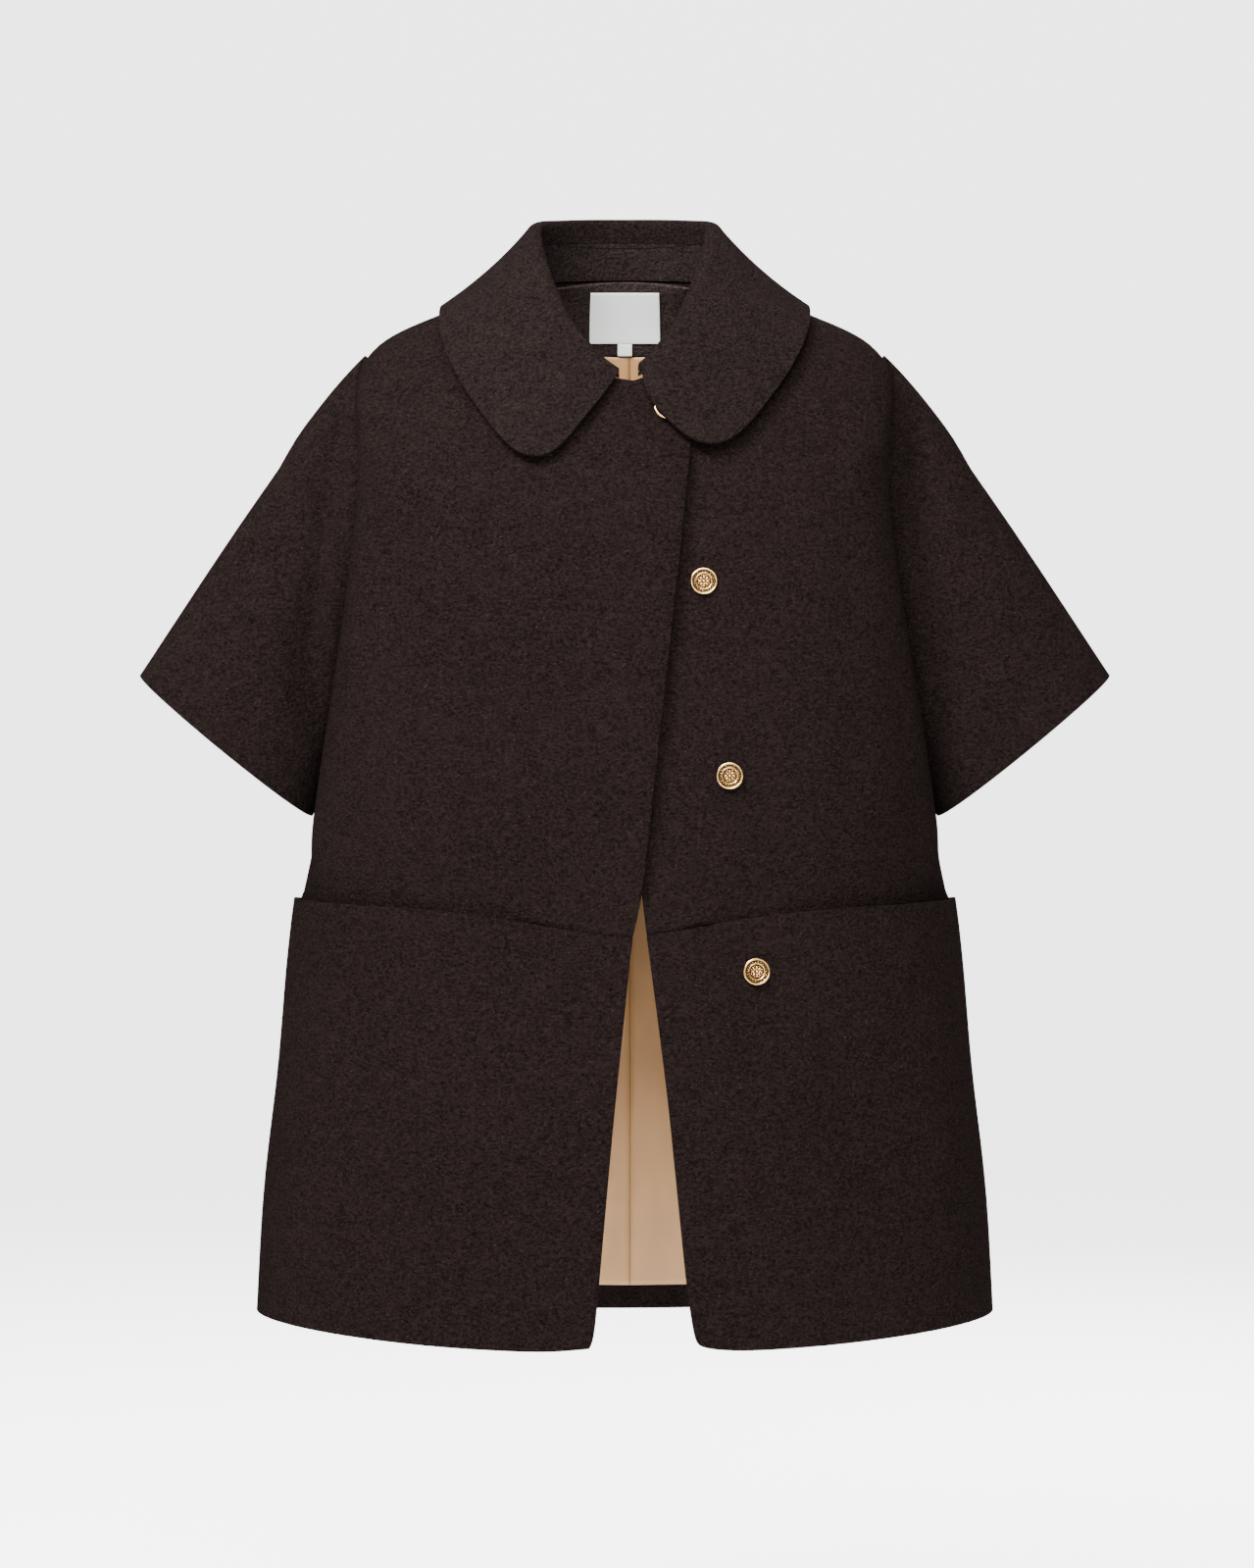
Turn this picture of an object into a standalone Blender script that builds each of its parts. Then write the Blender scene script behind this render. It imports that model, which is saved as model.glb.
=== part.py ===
"""A short wool coat, filled out as if worn, with nobody in it.

Metres, +Z up. The coat faces -Y, the wearer's left is +X, and the origin is the middle
of the neck opening, level with the back neck seam, where neck and shoulders carry it.
Every panel is a thin wall over one ruled body surface: rings run from the neckline over
the shoulders to the hem, and each ring is a rounded oblong with its own front, side and
back heights. A point of that surface is found by its level (the length down the side
seam from the neck) and its turn (the angle from the centre front or the centre back).
"""
import math

import bmesh
import bpy
import numpy as np

MM = 0.001

# ---- cloth -----------------------------------------------------------------------------
WOOL = 3.0 * MM                # thickness of the coating cloth
COLLAR_CLOTH = 3.5 * MM        # two turned layers of the collar leaf, pressed together
FACING_CLOTH = 1.8 * MM
LINING_CLOTH = 1.0 * MM
LABEL_CLOTH = 0.9 * MM
SEAM_GAP = 0.3 * MM            # clear width of every seam
LAYER_GAP = 0.9 * MM           # clear space between layers that lie on each other

# ---- the body surface: one row for each ring, in mm --------------------------------------
RING_COLUMNS = ("z_front", "z_side", "z_back", "half_width", "y_front", "y_side",
                "y_back", "square", "sag", "tuck")
RINGS = (
    # neckline, collar edge, shoulder point
    (-90.0, -6.0, 0.0, 72.0, -87.0, 2.0, 62.0, 2.0, 2.0, 0.0),
    (-150.0, -30.5, -46.0, 140.0, -106.0, 4.0, 94.0, 2.15, 1.9, 0.0),
    (-205.0, -63.0, -90.0, 201.5, -116.0, 5.0, 108.0, 2.35, 1.8, 0.0),
    # chest, bust, above the underarm, underarm
    (-262.0, -150.0, -160.0, 205.0, -121.0, 8.0, 116.0, 2.7, 1.7, 3.0),
    (-325.0, -245.0, -250.0, 219.5, -126.0, 12.0, 119.0, 2.8, 1.6, 10.0),
    (-400.0, -345.0, -350.0, 236.0, -129.0, 15.0, 120.0, 2.75, 1.5, 14.0),
    (-443.0, -395.0, -402.0, 245.5, -131.0, 17.0, 121.0, 2.7, 1.4, 17.0),
    # below the arm, waist, hip, thigh, hem
    (-478.0, -440.0, -448.0, 252.0, -132.5, 18.0, 122.0, 2.6, 1.3, 12.0),
    (-515.0, -486.0, -495.0, 252.5, -134.0, 19.0, 124.0, 2.5, 1.2, 1.0),
    (-622.0, -600.0, -608.0, 267.0, -140.0, 20.0, 131.0, 2.4, 1.15, 0.0),
    (-720.0, -702.0, -708.0, 280.5, -146.0, 20.0, 140.0, 2.35, 1.5, 0.0),
    (-818.5, -803.4, -818.5, 286.5, -151.0, 20.0, 150.0, 2.3, 2.5, 0.0),
)
RING_COLLAR, RING_SHOULDER, RING_UNDERARM, RING_WAIST, RING_HEM = 1, 2, 6, 8, 11
TUCK_START = math.radians(64.0)      # where a side turns in behind its soft side fold
ARMHOLE_FRONT = 38.0 * MM            # how far the armhole opens forward of the side line
ARMHOLE_BACK = 46.0 * MM             # and back of it
ARMHOLE_ROUNDNESS = 0.5

# soft folds that hang in the cloth: half, turn, spread, levels where each starts, is full and
# ends, depth; those of the front are on both sides
FOLD_COLUMNS = ("half", "turn_deg", "spread_deg", "from_mm", "full_mm", "to_mm", "depth_mm")
FOLDS = (
    ("back", -38.0, 13.0, 250.0, 575.0, 1200.0, 6.0),
    ("back", 34.0, 14.0, 280.0, 590.0, 1200.0, 5.0),
    ("back", -5.0, 16.0, 420.0, 660.0, 1200.0, -3.5),
    ("front", 47.0, 12.0, 330.0, 475.0, 620.0, 3.0),
)
FOLD_FADE = 120.0                    # a fold dies out over this last length, in mm

# ---- rows and columns of the panels --------------------------------------------------------
SHOULDER_ROWS = 5
ARMHOLE_ROWS = 11
WAIST_ROWS = 4
POCKET_LIP = 15.0 * MM               # what the front runs on behind the pocket mouth
LOWER_ROWS = 9
HEM_ROW = 9.0 * MM                   # the last row lies this far above the hem
FRONT_COLUMNS = 15
FRONT_PACKING = 0.045                # columns lie closer together toward the side
BACK_COLUMNS = 22
BACK_PACKING = 0.03

# ---- front edges: distance of the edge from the centre, toward the wearer's own side -------
OVER_EDGE = ((-820.0, 23.7), (-653.0, 8.9), (-512.0, -5.6), (-484.0, -12.5),
             (-396.0, -22.6), (-249.0, -38.8), (-142.0, -50.0), (-80.0, -56.0))
UNDER_EDGE = ((-820.0, 53.5), (-783.0, 47.3), (-624.0, 31.3), (-495.0, 14.5),
              (-250.0, -14.5), (-80.0, -33.0))
EXTENSION_TOP = -90.6 * MM           # level top of the part of each front past the centre
EXTENSION_SLOPE = 0.06
CORNER_CUT = 3.3 * MM                # rounding of the two front corners at the hem
OVER_LIFT = 3.0 * MM                 # the free edge of the upper front stands up this far
LIFT_REACH = 55.0 * MM
LIFT_SPAN = (-165.0 * MM, -130.0 * MM, -560.0 * MM, -490.0 * MM)
UNDER_SINK = 4.3 * MM                # the lower front lies this far under the upper one
SINK_START = 4.0 * MM
SINK_REACH = 40.0 * MM

# ---- waist seam and pockets: one line, sewn near the centre and open toward the side --------
WAIST_LINE = ((0.0, -511.5), (45.0, -504.5), (86.0, -497.0), (130.0, -491.5),
              (175.0, -488.0), (256.0, -484.0))
POCKET_SINK = 6.0 * MM               # the front passes this far inside the pocket panel
SINK_SPAN = (56.0 * MM, 76.0 * MM)   # it starts to dip between these distances from the centre
LIP_SPAN = (86.0 * MM, 104.0 * MM)   # and to run on behind the mouth between these
MOUTH_BLEND = (14.0 * MM, 60.0 * MM)
MOUTH_END = (74.0, 84.0)             # turns between which both end before the side seam
POCKET_STAND = 6.5 * MM             # how far the pocket panel stands away at its mouth
STAND_TURNS = (19.0, 48.0, 80.0, 90.0)
POCKET_DEPTH = 185.0 * MM
BAG_ROWS = 6

# ---- sleeves -------------------------------------------------------------------------------
CUFF_TIP = np.array((377.5, 12.0, -310.5)) * MM
CUFF_FOOT = np.array((242.5, 16.0, -421.5)) * MM
CUFF_HALF_DEPTH = 56.0 * MM
CUFF_BOW = 3.0 * MM
CUFF_SQUARE = 0.75
SLEEVE_SLOPE = math.radians(56.0)    # the sleeve hangs this far below level
SHOULDER_SLOPE = math.radians(40.0)  # and leaves the shoulder at this slope
SHOULDER_SPREAD = 3                  # the higher, the sooner that slope is left round the sleeve
SLEEVE_ROWS = 8
SLEEVE_FULLNESS = 0.45               # how far its sides swell to front and back
SLEEVE_LEAVE = 0.50                  # share of its length over which it leaves the armhole,
SHOULDER_LEAVE = 0.08                # a little more on top,
SLEEVE_ARRIVE = 0.60                 # and over which it settles to the cuff
CUFF_FLARE = 0.25
ARMHOLE_INSET = 0.75 * MM            # its first row stands this far off the panels

# ---- collar --------------------------------------------------------------------------------
# turn from the centre front: height of the roll above the neck seam, how far its outer and
# inner faces lie outside the seam
ROLL_COLUMNS = ("turn_deg", "height_mm", "outer_mm", "inner_mm")
ROLL = (
    (3.0, 8.0, 4.8, -3.0),
    (15.0, 14.0, 4.8, -3.2),
    (26.0, 18.5, 4.8, -3.8),
    (38.0, 21.0, 4.8, -4.5),
    (50.0, 25.0, 4.6, -5.0),
    (63.0, 29.6, 4.6, -6.0),
    (75.0, 36.4, 4.8, -6.8),
    (90.0, 43.7, 4.4, -7.8),
    (110.0, 48.4, 3.4, -8.6),
    (135.0, 49.2, 1.2, -9.8),
    (180.0, 48.5, -1.5, -10.5),
)
COLLAR_ENDS = (3.5, 9.0)             # turn at which each end starts: wearer's right, left
STAND_SHARE = 0.6                    # share of the roll's height that the stand takes
ROLL_CLEAR = 0.6 * MM                # least room between the stand and the bend of the roll
STAND_ROWS = 2
ROLL_ARC = (150.0, 115.0, 80.0, 45.0, 15.0)
LEAF_ROWS = 6
FRONT_EDGE_COLUMNS = 6
LEAF_COLUMNS = 11
BACK_LEAF_COLUMNS = 12
LEAF_HOVER = (9.5 * MM, 10.5 * MM)    # outer face of each leaf above the front: right, left
SHOULDER_REACH = 2                   # points of the edge on each side that are eased
SHOULDER_PASSES = 1                  # into one curve over the shoulder
END_HOVER_SHARE = 0.75               # of that clearance, at the upper end of its front edge
LEAF_BULGE = ((0.0, 4.0), (45.0, 3.5), (90.0, -3.5), (135.0, -1.0), (180.0, 1.0))
# outline of each leaf from the middle of its rounded tip up to the shoulder, (x, z) in mm
LEAF_RIGHT = ((57.0, -151.0), (68.5, -152.5), (80.0, -148.5), (91.0, -139.0), (101.0, -126.5),
              (114.5, -108.0), (124.0, -93.0), (134.5, -70.0), (141.0, -47.5))
LEAF_LEFT = ((52.5, -140.5), (66.0, -143.5), (77.5, -140.0), (89.0, -131.0), (99.0, -119.5),
             (113.0, -101.0), (122.5, -87.0), (133.5, -66.0), (140.5, -45.0))
# front edge of each leaf from the roll's end down to the middle of the tip
LEAF_RIGHT_END = ((10.5, -97.0), (22.0, -112.5), (35.0, -129.0), (46.0, -143.0))
LEAF_LEFT_END = ((14.5, -99.0), (21.5, -113.5), (32.0, -124.5), (42.0, -135.0))

# ---- inside the back neck --------------------------------------------------------------------
FACING_DEPTH = 50.0 * MM
LINING_GAP = 1.5 * MM                # between the facing's lower edge and the lining
LINING_EASE = 4.0 * MM               # the lining stands this much further in at the sides
EASE_TURNS = (28.0, 60.0)
LINING_SEAM = 4.0 * MM               # the lining's centre seam lies this far to the left
LINING_RISE = 17.5 * MM              # hem of the lining above the hem of the coat
LABEL_SIZE = (57.0 * MM, 38.0 * MM)
LABEL_DROP = 5.0 * MM
TAB_SIZE = (11.5 * MM, 10.0 * MM)

# ---- buttons: (x, z), on the wearer's right front first -----------------------------------------
BUTTONS = ((31.9, -112.5), (59.3, -244.0), (78.2, -390.0), (97.9, -536.0))
BUTTON_GAP = 0.48 * MM               # clear space between shank and cloth
BUTTON_STEPS = 22
BUTTON_PROFILE = ((0.0, 0.0), (2.8, 0.0), (2.8, 0.9), (8.6, 0.9), (9.8, 1.3), (10.2, 2.2),
                  (9.9, 3.3), (9.1, 3.8), (8.3, 3.4), (7.9, 2.7), (6.4, 2.7), (6.0, 3.1),
                  (0.0, 3.6))

FINISHES = {
    # name: colour, roughness, metallic
    "wool": ((0.028, 0.018, 0.016, 1.0), 0.95, 0.0),
    "lining": ((0.55, 0.36, 0.21, 1.0), 0.40, 0.0),
    "label": ((0.86, 0.86, 0.85, 1.0), 0.80, 0.0),
    "button_gold": ((0.80, 0.56, 0.26, 1.0), 0.28, 1.0),
}


def clear_scene():
    for item in list(bpy.data.objects):
        bpy.data.objects.remove(item, do_unlink=True)


def finish(name):
    material = bpy.data.materials.get(name)
    if material:
        return material
    colour, roughness, metallic = FINISHES[name]
    material = bpy.data.materials.new(name)
    material.use_nodes = True
    shader = material.node_tree.nodes["Principled BSDF"]
    shader.inputs["Base Color"].default_value = colour
    shader.inputs["Roughness"].default_value = roughness
    shader.inputs["Metallic"].default_value = metallic
    material.diffuse_color = colour
    return material


def step(value, low, high):
    """0 below low, 1 above high, smooth between."""
    share = np.clip((np.asarray(value, float) - low) / (high - low), 0.0, 1.0)
    return share * share * (3.0 - 2.0 * share)


def unit(vectors):
    return vectors / np.maximum(np.linalg.norm(vectors, axis=-1, keepdims=True), 1e-12)


def smooth_curve(positions, values, at):
    """Value at each place of a smooth curve through the rows of a table."""
    positions = np.asarray(positions, float)
    values = np.asarray(values, float)
    slopes = np.gradient(values, positions, axis=0)
    at = np.clip(np.asarray(at, float), positions[0], positions[-1])
    row = np.clip(np.searchsorted(positions, at, side="right") - 1, 0, len(positions) - 2)
    span = positions[row + 1] - positions[row]
    share = (at - positions[row]) / span
    if values.ndim > 1:
        share = share[..., None]
        span = span[..., None]
    start_value = values[row] * (2 * share**3 - 3 * share**2 + 1)
    start_slope = slopes[row] * span * (share**3 - 2 * share**2 + share)
    end_value = values[row + 1] * (3 * share**2 - 2 * share**3)
    end_slope = slopes[row + 1] * span * (share**3 - share**2)
    return start_value + start_slope + end_value + end_slope


def curve_points(points, count):
    """Evenly spaced points of a smooth curve through a few given ones."""
    points = np.asarray(points, float)
    lengths = np.concatenate(([0.0], np.cumsum(np.linalg.norm(np.diff(points, axis=0), axis=1))))
    return smooth_curve(lengths, points, np.linspace(0.0, lengths[-1], count))


# ---- the body surface --------------------------------------------------------------------------
RING_TABLE = {name: np.array([row[k] for row in RINGS]) for k, name in enumerate(RING_COLUMNS)}
SIDE_STEPS = np.hypot(np.diff(RING_TABLE["half_width"]), np.diff(RING_TABLE["z_side"]))
RING_LEVELS = np.concatenate(([0.0], np.cumsum(SIDE_STEPS))) * MM
LEVEL_SHOULDER = RING_LEVELS[RING_SHOULDER]
LEVEL_UNDERARM = RING_LEVELS[RING_UNDERARM]
LEVEL_HEM = RING_LEVELS[RING_HEM]


def ring(column, level):
    value = smooth_curve(RING_LEVELS, RING_TABLE[column], level)
    return value if column in ("square", "sag") else value * MM


def armhole_opening(level):
    """How open the armhole is: 0 at the shoulder point and the underarm, 1 between."""
    share = np.clip((level - LEVEL_SHOULDER) / (LEVEL_UNDERARM - LEVEL_SHOULDER), 0.0, 1.0)
    return np.sin(math.pi * share) ** ARMHOLE_ROUNDNESS


def body(half, level, turn):
    """Point of the bare surface. The turn is measured from the half's own centre line."""
    level = np.clip(np.asarray(level, float), 0.0, LEVEL_HEM)
    turn = np.clip(np.asarray(turn, float), -math.pi / 2, math.pi / 2)
    level, turn = np.broadcast_arrays(level, turn)
    square = ring("square", level)
    reach = (np.abs(np.sin(turn)) ** square + np.abs(np.cos(turn)) ** square) ** (-1.0 / square)
    across = np.sin(turn) * reach
    deep = np.clip(np.cos(turn) * reach, 0.0, None)
    tuck = ring("tuck", level) * step(np.abs(turn), TUCK_START, math.pi / 2)
    forward = -1.0 if half == "front" else 1.0
    armhole = ARMHOLE_FRONT if half == "front" else ARMHOLE_BACK
    y_side = ring("y_side", level) + forward * armhole * armhole_opening(level)
    x = ring("half_width", level) * across - np.sign(across) * tuck
    y = y_side + (ring("y_" + half, level) - y_side) * deep
    z_side = ring("z_side", level)
    z = z_side + (ring("z_" + half, level) - z_side) * deep ** ring("sag", level)
    return np.stack((x, y, z), axis=-1)


def outward(half, level, turn):
    """Outward direction of the bare surface."""
    small_level = 0.0015
    small_turn = 0.006
    down = body(half, level + small_level, turn) - body(half, level - small_level, turn)
    along = body(half, level, turn + small_turn) - body(half, level, turn - small_turn)
    normal = np.cross(down, along)
    return unit(normal if half == "front" else -normal)


def fold_height(half, level, turn):
    height = np.zeros(np.broadcast(level, turn).shape)
    for row in FOLDS:
        fold = dict(zip(FOLD_COLUMNS, row))
        if fold["half"] != half:
            continue
        centre = fold["turn_deg"]
        grown = step(level / MM, fold["from_mm"], fold["full_mm"])
        gone = 1.0 - step(level / MM, fold["to_mm"] - FOLD_FADE, fold["to_mm"])
        for place in (centre,) if half == "back" else (centre, -centre):
            share = (np.degrees(turn) - place) / fold["spread_deg"]
            height = height + fold["depth_mm"] * MM * np.exp(-share**2) * grown * gone
    return height


def at_turn(level, x):
    """Turn at which the ring of a level reaches a distance from the centre."""
    square = ring("square", level)
    share = np.clip(np.abs(x) / ring("half_width", level), 0.0, 1.0)
    return np.sign(x) * np.arctan2(share, (1.0 - share**square) ** (1.0 / square))


def solve_level(place, low, high, rounds=40):
    """Level at which a falling height function passes zero, by halving."""
    low = np.array(low, float)
    high = np.array(high, float)
    for _ in range(rounds):
        middle = 0.5 * (low + high)
        above = place(middle) > 0.0
        low = np.where(above, middle, low)
        high = np.where(above, high, middle)
    return 0.5 * (low + high)


def front_place(x, z):
    """Level and turn of the front surface's point that shows at (x, z) from the front."""
    x = np.asarray(x, float)
    z = np.asarray(z, float)

    def height(level):
        return body("front", level, at_turn(level, x))[..., 2] - z

    level = solve_level(height, np.zeros(x.shape), np.full(x.shape, LEVEL_HEM))
    return level, at_turn(level, x)


def table_value(table, at):
    rows = sorted(table)
    return np.interp(np.asarray(at) / MM, [row[0] for row in rows], [row[1] for row in rows]) * MM


def edge_of(piece, z):
    """Where a front's edge lies, in its own frame with x toward the wearer's own side."""
    return table_value(OVER_EDGE if piece == "right" else UNDER_EDGE, z)


def edge_turn(piece, level):
    turn = np.zeros(np.shape(level))
    for _ in range(5):
        z = body("front", level, turn)[..., 2]
        turn = at_turn(level, edge_of(piece, z))
    return turn


def lap_offset(piece, x, z):
    """The upper front's free edge stands up a little; the lower front lies beneath it."""
    lifted_top = step(-z, -LIFT_SPAN[1], -LIFT_SPAN[0])
    faded = 1.0 - step(-z, -LIFT_SPAN[3], -LIFT_SPAN[2])
    if piece == "right":
        from_edge = x - edge_of("right", z)
        return OVER_LIFT * (1.0 - step(from_edge, 0.0, LIFT_REACH)) * lifted_top * faded
    covered = -edge_of("right", z) + SINK_START
    return -UNDER_SINK * (1.0 - step(x, covered, covered + SINK_REACH)) * faded


def waist_height(x):
    return table_value(WAIST_LINE, np.abs(x))


def waist_level(piece, share):
    """Level of the waist line for each column share between the front edge and the side."""
    share = np.asarray(share, float)
    level = np.full(share.shape, RING_LEVELS[RING_WAIST])
    for _ in range(6):
        first = edge_turn(piece, level)
        turn = first + (math.pi / 2 - first) * share

        def height(trial, turn=turn):
            point = body("front", trial, turn)
            return point[..., 2] - waist_height(point[..., 0])

        level = solve_level(height, np.full(share.shape, LEVEL_UNDERARM), np.full(share.shape, LEVEL_HEM))
    return level


def mouth_end(turn):
    """1 along the pocket mouth, 0 where it is closed at the side seam."""
    return 1.0 - step(np.degrees(turn), *MOUTH_END)


def pocket_sink(turn, x, z):
    """The front dips behind the pocket panel, from a little above the pocket mouth."""
    above = z - waist_height(x)
    dip = step(x, *SINK_SPAN) * (1.0 - step(above, *MOUTH_BLEND))
    return POCKET_SINK * dip * mouth_end(turn)


def pocket_stand(turn, x, z):
    """How far the pocket panel stands away from the body surface."""
    degrees = np.degrees(turn)
    rise = step(degrees, STAND_TURNS[0], STAND_TURNS[1])
    close = np.clip((degrees - STAND_TURNS[2]) / (STAND_TURNS[3] - STAND_TURNS[2]), 0.0, 1.0)
    below = waist_height(x) - z
    return POCKET_STAND * rise * np.sqrt(1.0 - close**2) * (1.0 - step(below, 0.0, POCKET_DEPTH))


# ---- building walls -------------------------------------------------------------------------------
def inset_borders(points, closed=False, sides=(1, 1, 1, 1), gap=SEAM_GAP / 2):
    """Move a grid's border points inward by half a seam: first row, last row, first column,
    last column."""
    points = points.copy()
    if sides[0]:
        points[0] += gap * unit(points[1] - points[0])
    if sides[1]:
        points[-1] += gap * unit(points[-2] - points[-1])
    if not closed:
        if sides[2]:
            points[:, 0] += gap * unit(points[:, 1] - points[:, 0])
        if sides[3]:
            points[:, -1] += gap * unit(points[:, -2] - points[:, -1])
    return points


def add_object(name, mesh_data, material_name, smooth_angle=40.0):
    mesh = bpy.data.meshes.new(name)
    mesh_data.to_mesh(mesh)
    mesh_data.free()
    mesh.materials.append(finish(material_name))
    mesh.shade_smooth()
    mesh.set_sharp_from_angle(angle=math.radians(smooth_angle))
    item = bpy.data.objects.new(name, mesh)
    bpy.context.scene.collection.objects.link(item)
    return item


def add_wall(name, face, back, material_name, closed=False):
    """A closed wall between two grids of the same shape: its face and its back."""
    rows, columns = face.shape[:2]
    shell = bmesh.new()
    grids = []
    for grid in (face, back):
        grids.append([[shell.verts.new(point) for point in row] for row in grid])
    last = columns if closed else columns - 1
    for i in range(rows - 1):
        for j in range(last):
            k = (j + 1) % columns
            for index, grid in enumerate(grids):
                corners = (grid[i][j], grid[i + 1][j], grid[i + 1][k], grid[i][k])
                shell.faces.new(corners if index == 0 else corners[::-1])
    rims = [(0, j, 0, (j + 1) % columns) for j in range(last)]
    rims += [(rows - 1, (j + 1) % columns, rows - 1, j) for j in range(last)]
    if not closed:
        rims += [(i + 1, 0, i, 0) for i in range(rows - 1)]
        rims += [(i, columns - 1, i + 1, columns - 1) for i in range(rows - 1)]
    for i, j, m, n in rims:
        shell.faces.new((grids[0][i][j], grids[0][m][n], grids[1][m][n], grids[1][i][j]))
    bmesh.ops.recalc_face_normals(shell, faces=shell.faces)
    if shell.calc_volume(signed=True) < 0.0:
        bmesh.ops.reverse_faces(shell, faces=shell.faces)
    return add_object(name, shell, material_name)


def mirror_if(piece, *grids):
    """The wearer's right is worked out on +X and mirrored."""
    factor = np.array((-1.0, 1.0, 1.0)) if piece == "right" else np.ones(3)
    return [grid * factor for grid in grids]


# ---- levels that neighbouring panels share ------------------------------------------------------------
def side_levels():
    """Levels of the front's rows along its side, from the neck to the waist line."""
    waist = float(waist_level("left", np.array([1.0]))[0])
    shoulder = np.linspace(0.0, LEVEL_SHOULDER, SHOULDER_ROWS + 1)
    armhole = np.linspace(LEVEL_SHOULDER, LEVEL_UNDERARM, ARMHOLE_ROWS + 1)
    torso = np.linspace(LEVEL_UNDERARM, waist, WAIST_ROWS + 1)
    return np.concatenate((shoulder, armhole[1:], torso[1:]))


def lower_shares():
    """Shares of the way from the waist line to the hem for the lower rows."""
    length = LEVEL_HEM - float(waist_level("left", np.array([1.0]))[0])
    lip = POCKET_LIP / length
    last = 1.0 - HEM_ROW / length
    return np.concatenate(([0.0], np.linspace(lip, last, LOWER_ROWS), [1.0]))


def column_shares():
    """Columns of a front from its edge to the side, closer together round the side fold."""
    share = np.linspace(0.0, 1.0, FRONT_COLUMNS + 1)
    return share + FRONT_PACKING * np.sin(math.pi * share) * (1.0 - share)


# ---- panels -----------------------------------------------------------------------------------------
def front_grid(piece):
    shares = column_shares()
    rows = side_levels()
    waist = waist_level(piece, shares)
    lower = lower_shares()
    first_turn = edge_turn(piece, np.full(shares.shape, 0.0))
    top_turn = first_turn + (math.pi / 2 - first_turn) * shares
    top = np.zeros(shares.shape)
    for _ in range(8):
        first_turn = edge_turn(piece, top)
        top_turn = first_turn + (math.pi / 2 - first_turn) * shares

        def height(trial, turn=top_turn):
            point = body("front", trial, turn)
            limit = EXTENSION_TOP - EXTENSION_SLOPE * np.abs(point[..., 0])
            return point[..., 2] - limit

        cut = solve_level(height, np.zeros(shares.shape), np.full(shares.shape, LEVEL_SHOULDER))
        top = np.where(top_turn < 0.0, cut, 0.0)
    at_waist = edge_turn(piece, waist)
    at_waist = at_waist + (math.pi / 2 - at_waist) * shares
    x_waist = body("front", waist, at_waist)[..., 0]
    lip = step(x_waist, *LIP_SPAN) * mouth_end(at_waist) * lower[1] * (LEVEL_HEM - waist)
    bottom = waist + lip
    share_down = rows / rows[-1]
    level = top + np.outer(share_down, bottom - top)
    first = edge_turn(piece, level)
    turn = first + (math.pi / 2 - first) * shares
    return level, turn


def front_offset(piece, level, turn):
    point = body("front", level, turn)
    x, z = point[..., 0], point[..., 2]
    return lap_offset(piece, x, z) + fold_height("front", level, turn) - pocket_sink(turn, x, z)


def front_face(piece, level, turn):
    offset = front_offset(piece, level, turn)
    return body("front", level, turn) + offset[..., None] * outward("front", level, turn)


def build_front(piece):
    level, turn = front_grid(piece)
    normals = outward("front", level, turn)
    face = inset_borders(front_face(piece, level, turn))
    back = face - WOOL * normals
    face, back = mirror_if(piece, face, back)
    return add_wall("front_" + piece, face, back, "wool")


def lower_grid(piece):
    shares = column_shares()
    waist = waist_level(piece, shares)
    level = waist + np.outer(lower_shares(), LEVEL_HEM - waist)
    first = edge_turn(piece, level)
    turn = first + (math.pi / 2 - first) * shares
    return level, turn


def lower_face(piece, level, turn):
    point = body("front", level, turn)
    x, z = point[..., 0], point[..., 2]
    offset = lap_offset(piece, x, z) + fold_height("front", level, turn)
    offset = offset + pocket_stand(turn, x, z)
    return point + offset[..., None] * outward("front", level, turn)


def build_lower_front(piece):
    level, turn = lower_grid(piece)
    normals = outward("front", level, turn)
    face = inset_borders(lower_face(piece, level, turn), sides=(1, 0, 0, 1))
    toward_side = unit(face[-1, 1] - face[-1, 0])
    up = unit(face[-2, 0] - face[-1, 0])
    face[-1, 0] += CORNER_CUT * (toward_side + up)
    back = face - WOOL * normals
    face, back = mirror_if(piece, face, back)
    return add_wall("lower_front_" + piece, face, back, "wool")


def build_pocket_bag(piece):
    level, turn = lower_grid(piece)
    x = body("front", level[0], turn[0])[..., 0]
    start = int(np.argmax(x > LIP_SPAN[1]))
    rows = slice(1, BAG_ROWS + 2)
    level, turn = level[rows, start:], turn[rows, start:]
    normals = outward("front", level, turn)
    offset = fold_height("front", level, turn) - POCKET_SINK
    face = body("front", level, turn) + offset[..., None] * normals
    face = inset_borders(face)
    back = face - WOOL * normals
    face, back = mirror_if(piece, face, back)
    return add_wall("pocket_bag_" + piece, face, back, "wool")


def back_levels():
    upper = side_levels()
    lower = upper[-1] + lower_shares()[1:] * (LEVEL_HEM - upper[-1])
    return np.concatenate((upper, lower))


def back_turns():
    share = np.linspace(-1.0, 1.0, BACK_COLUMNS + 1)
    return math.pi / 2 * (share + BACK_PACKING * np.sin(math.pi * share))


def back_face(level, turn, outset=0.0):
    offset = fold_height("back", level, turn) + outset
    return body("back", level, turn) + offset[..., None] * outward("back", level, turn)


def build_back():
    level, turn = np.meshgrid(back_levels(), back_turns(), indexing="ij")
    normals = outward("back", level, turn)
    face = inset_borders(back_face(level, turn), sides=(0, 0, 1, 1))
    return add_wall("back", face, face - WOOL * normals, "wool")


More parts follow.
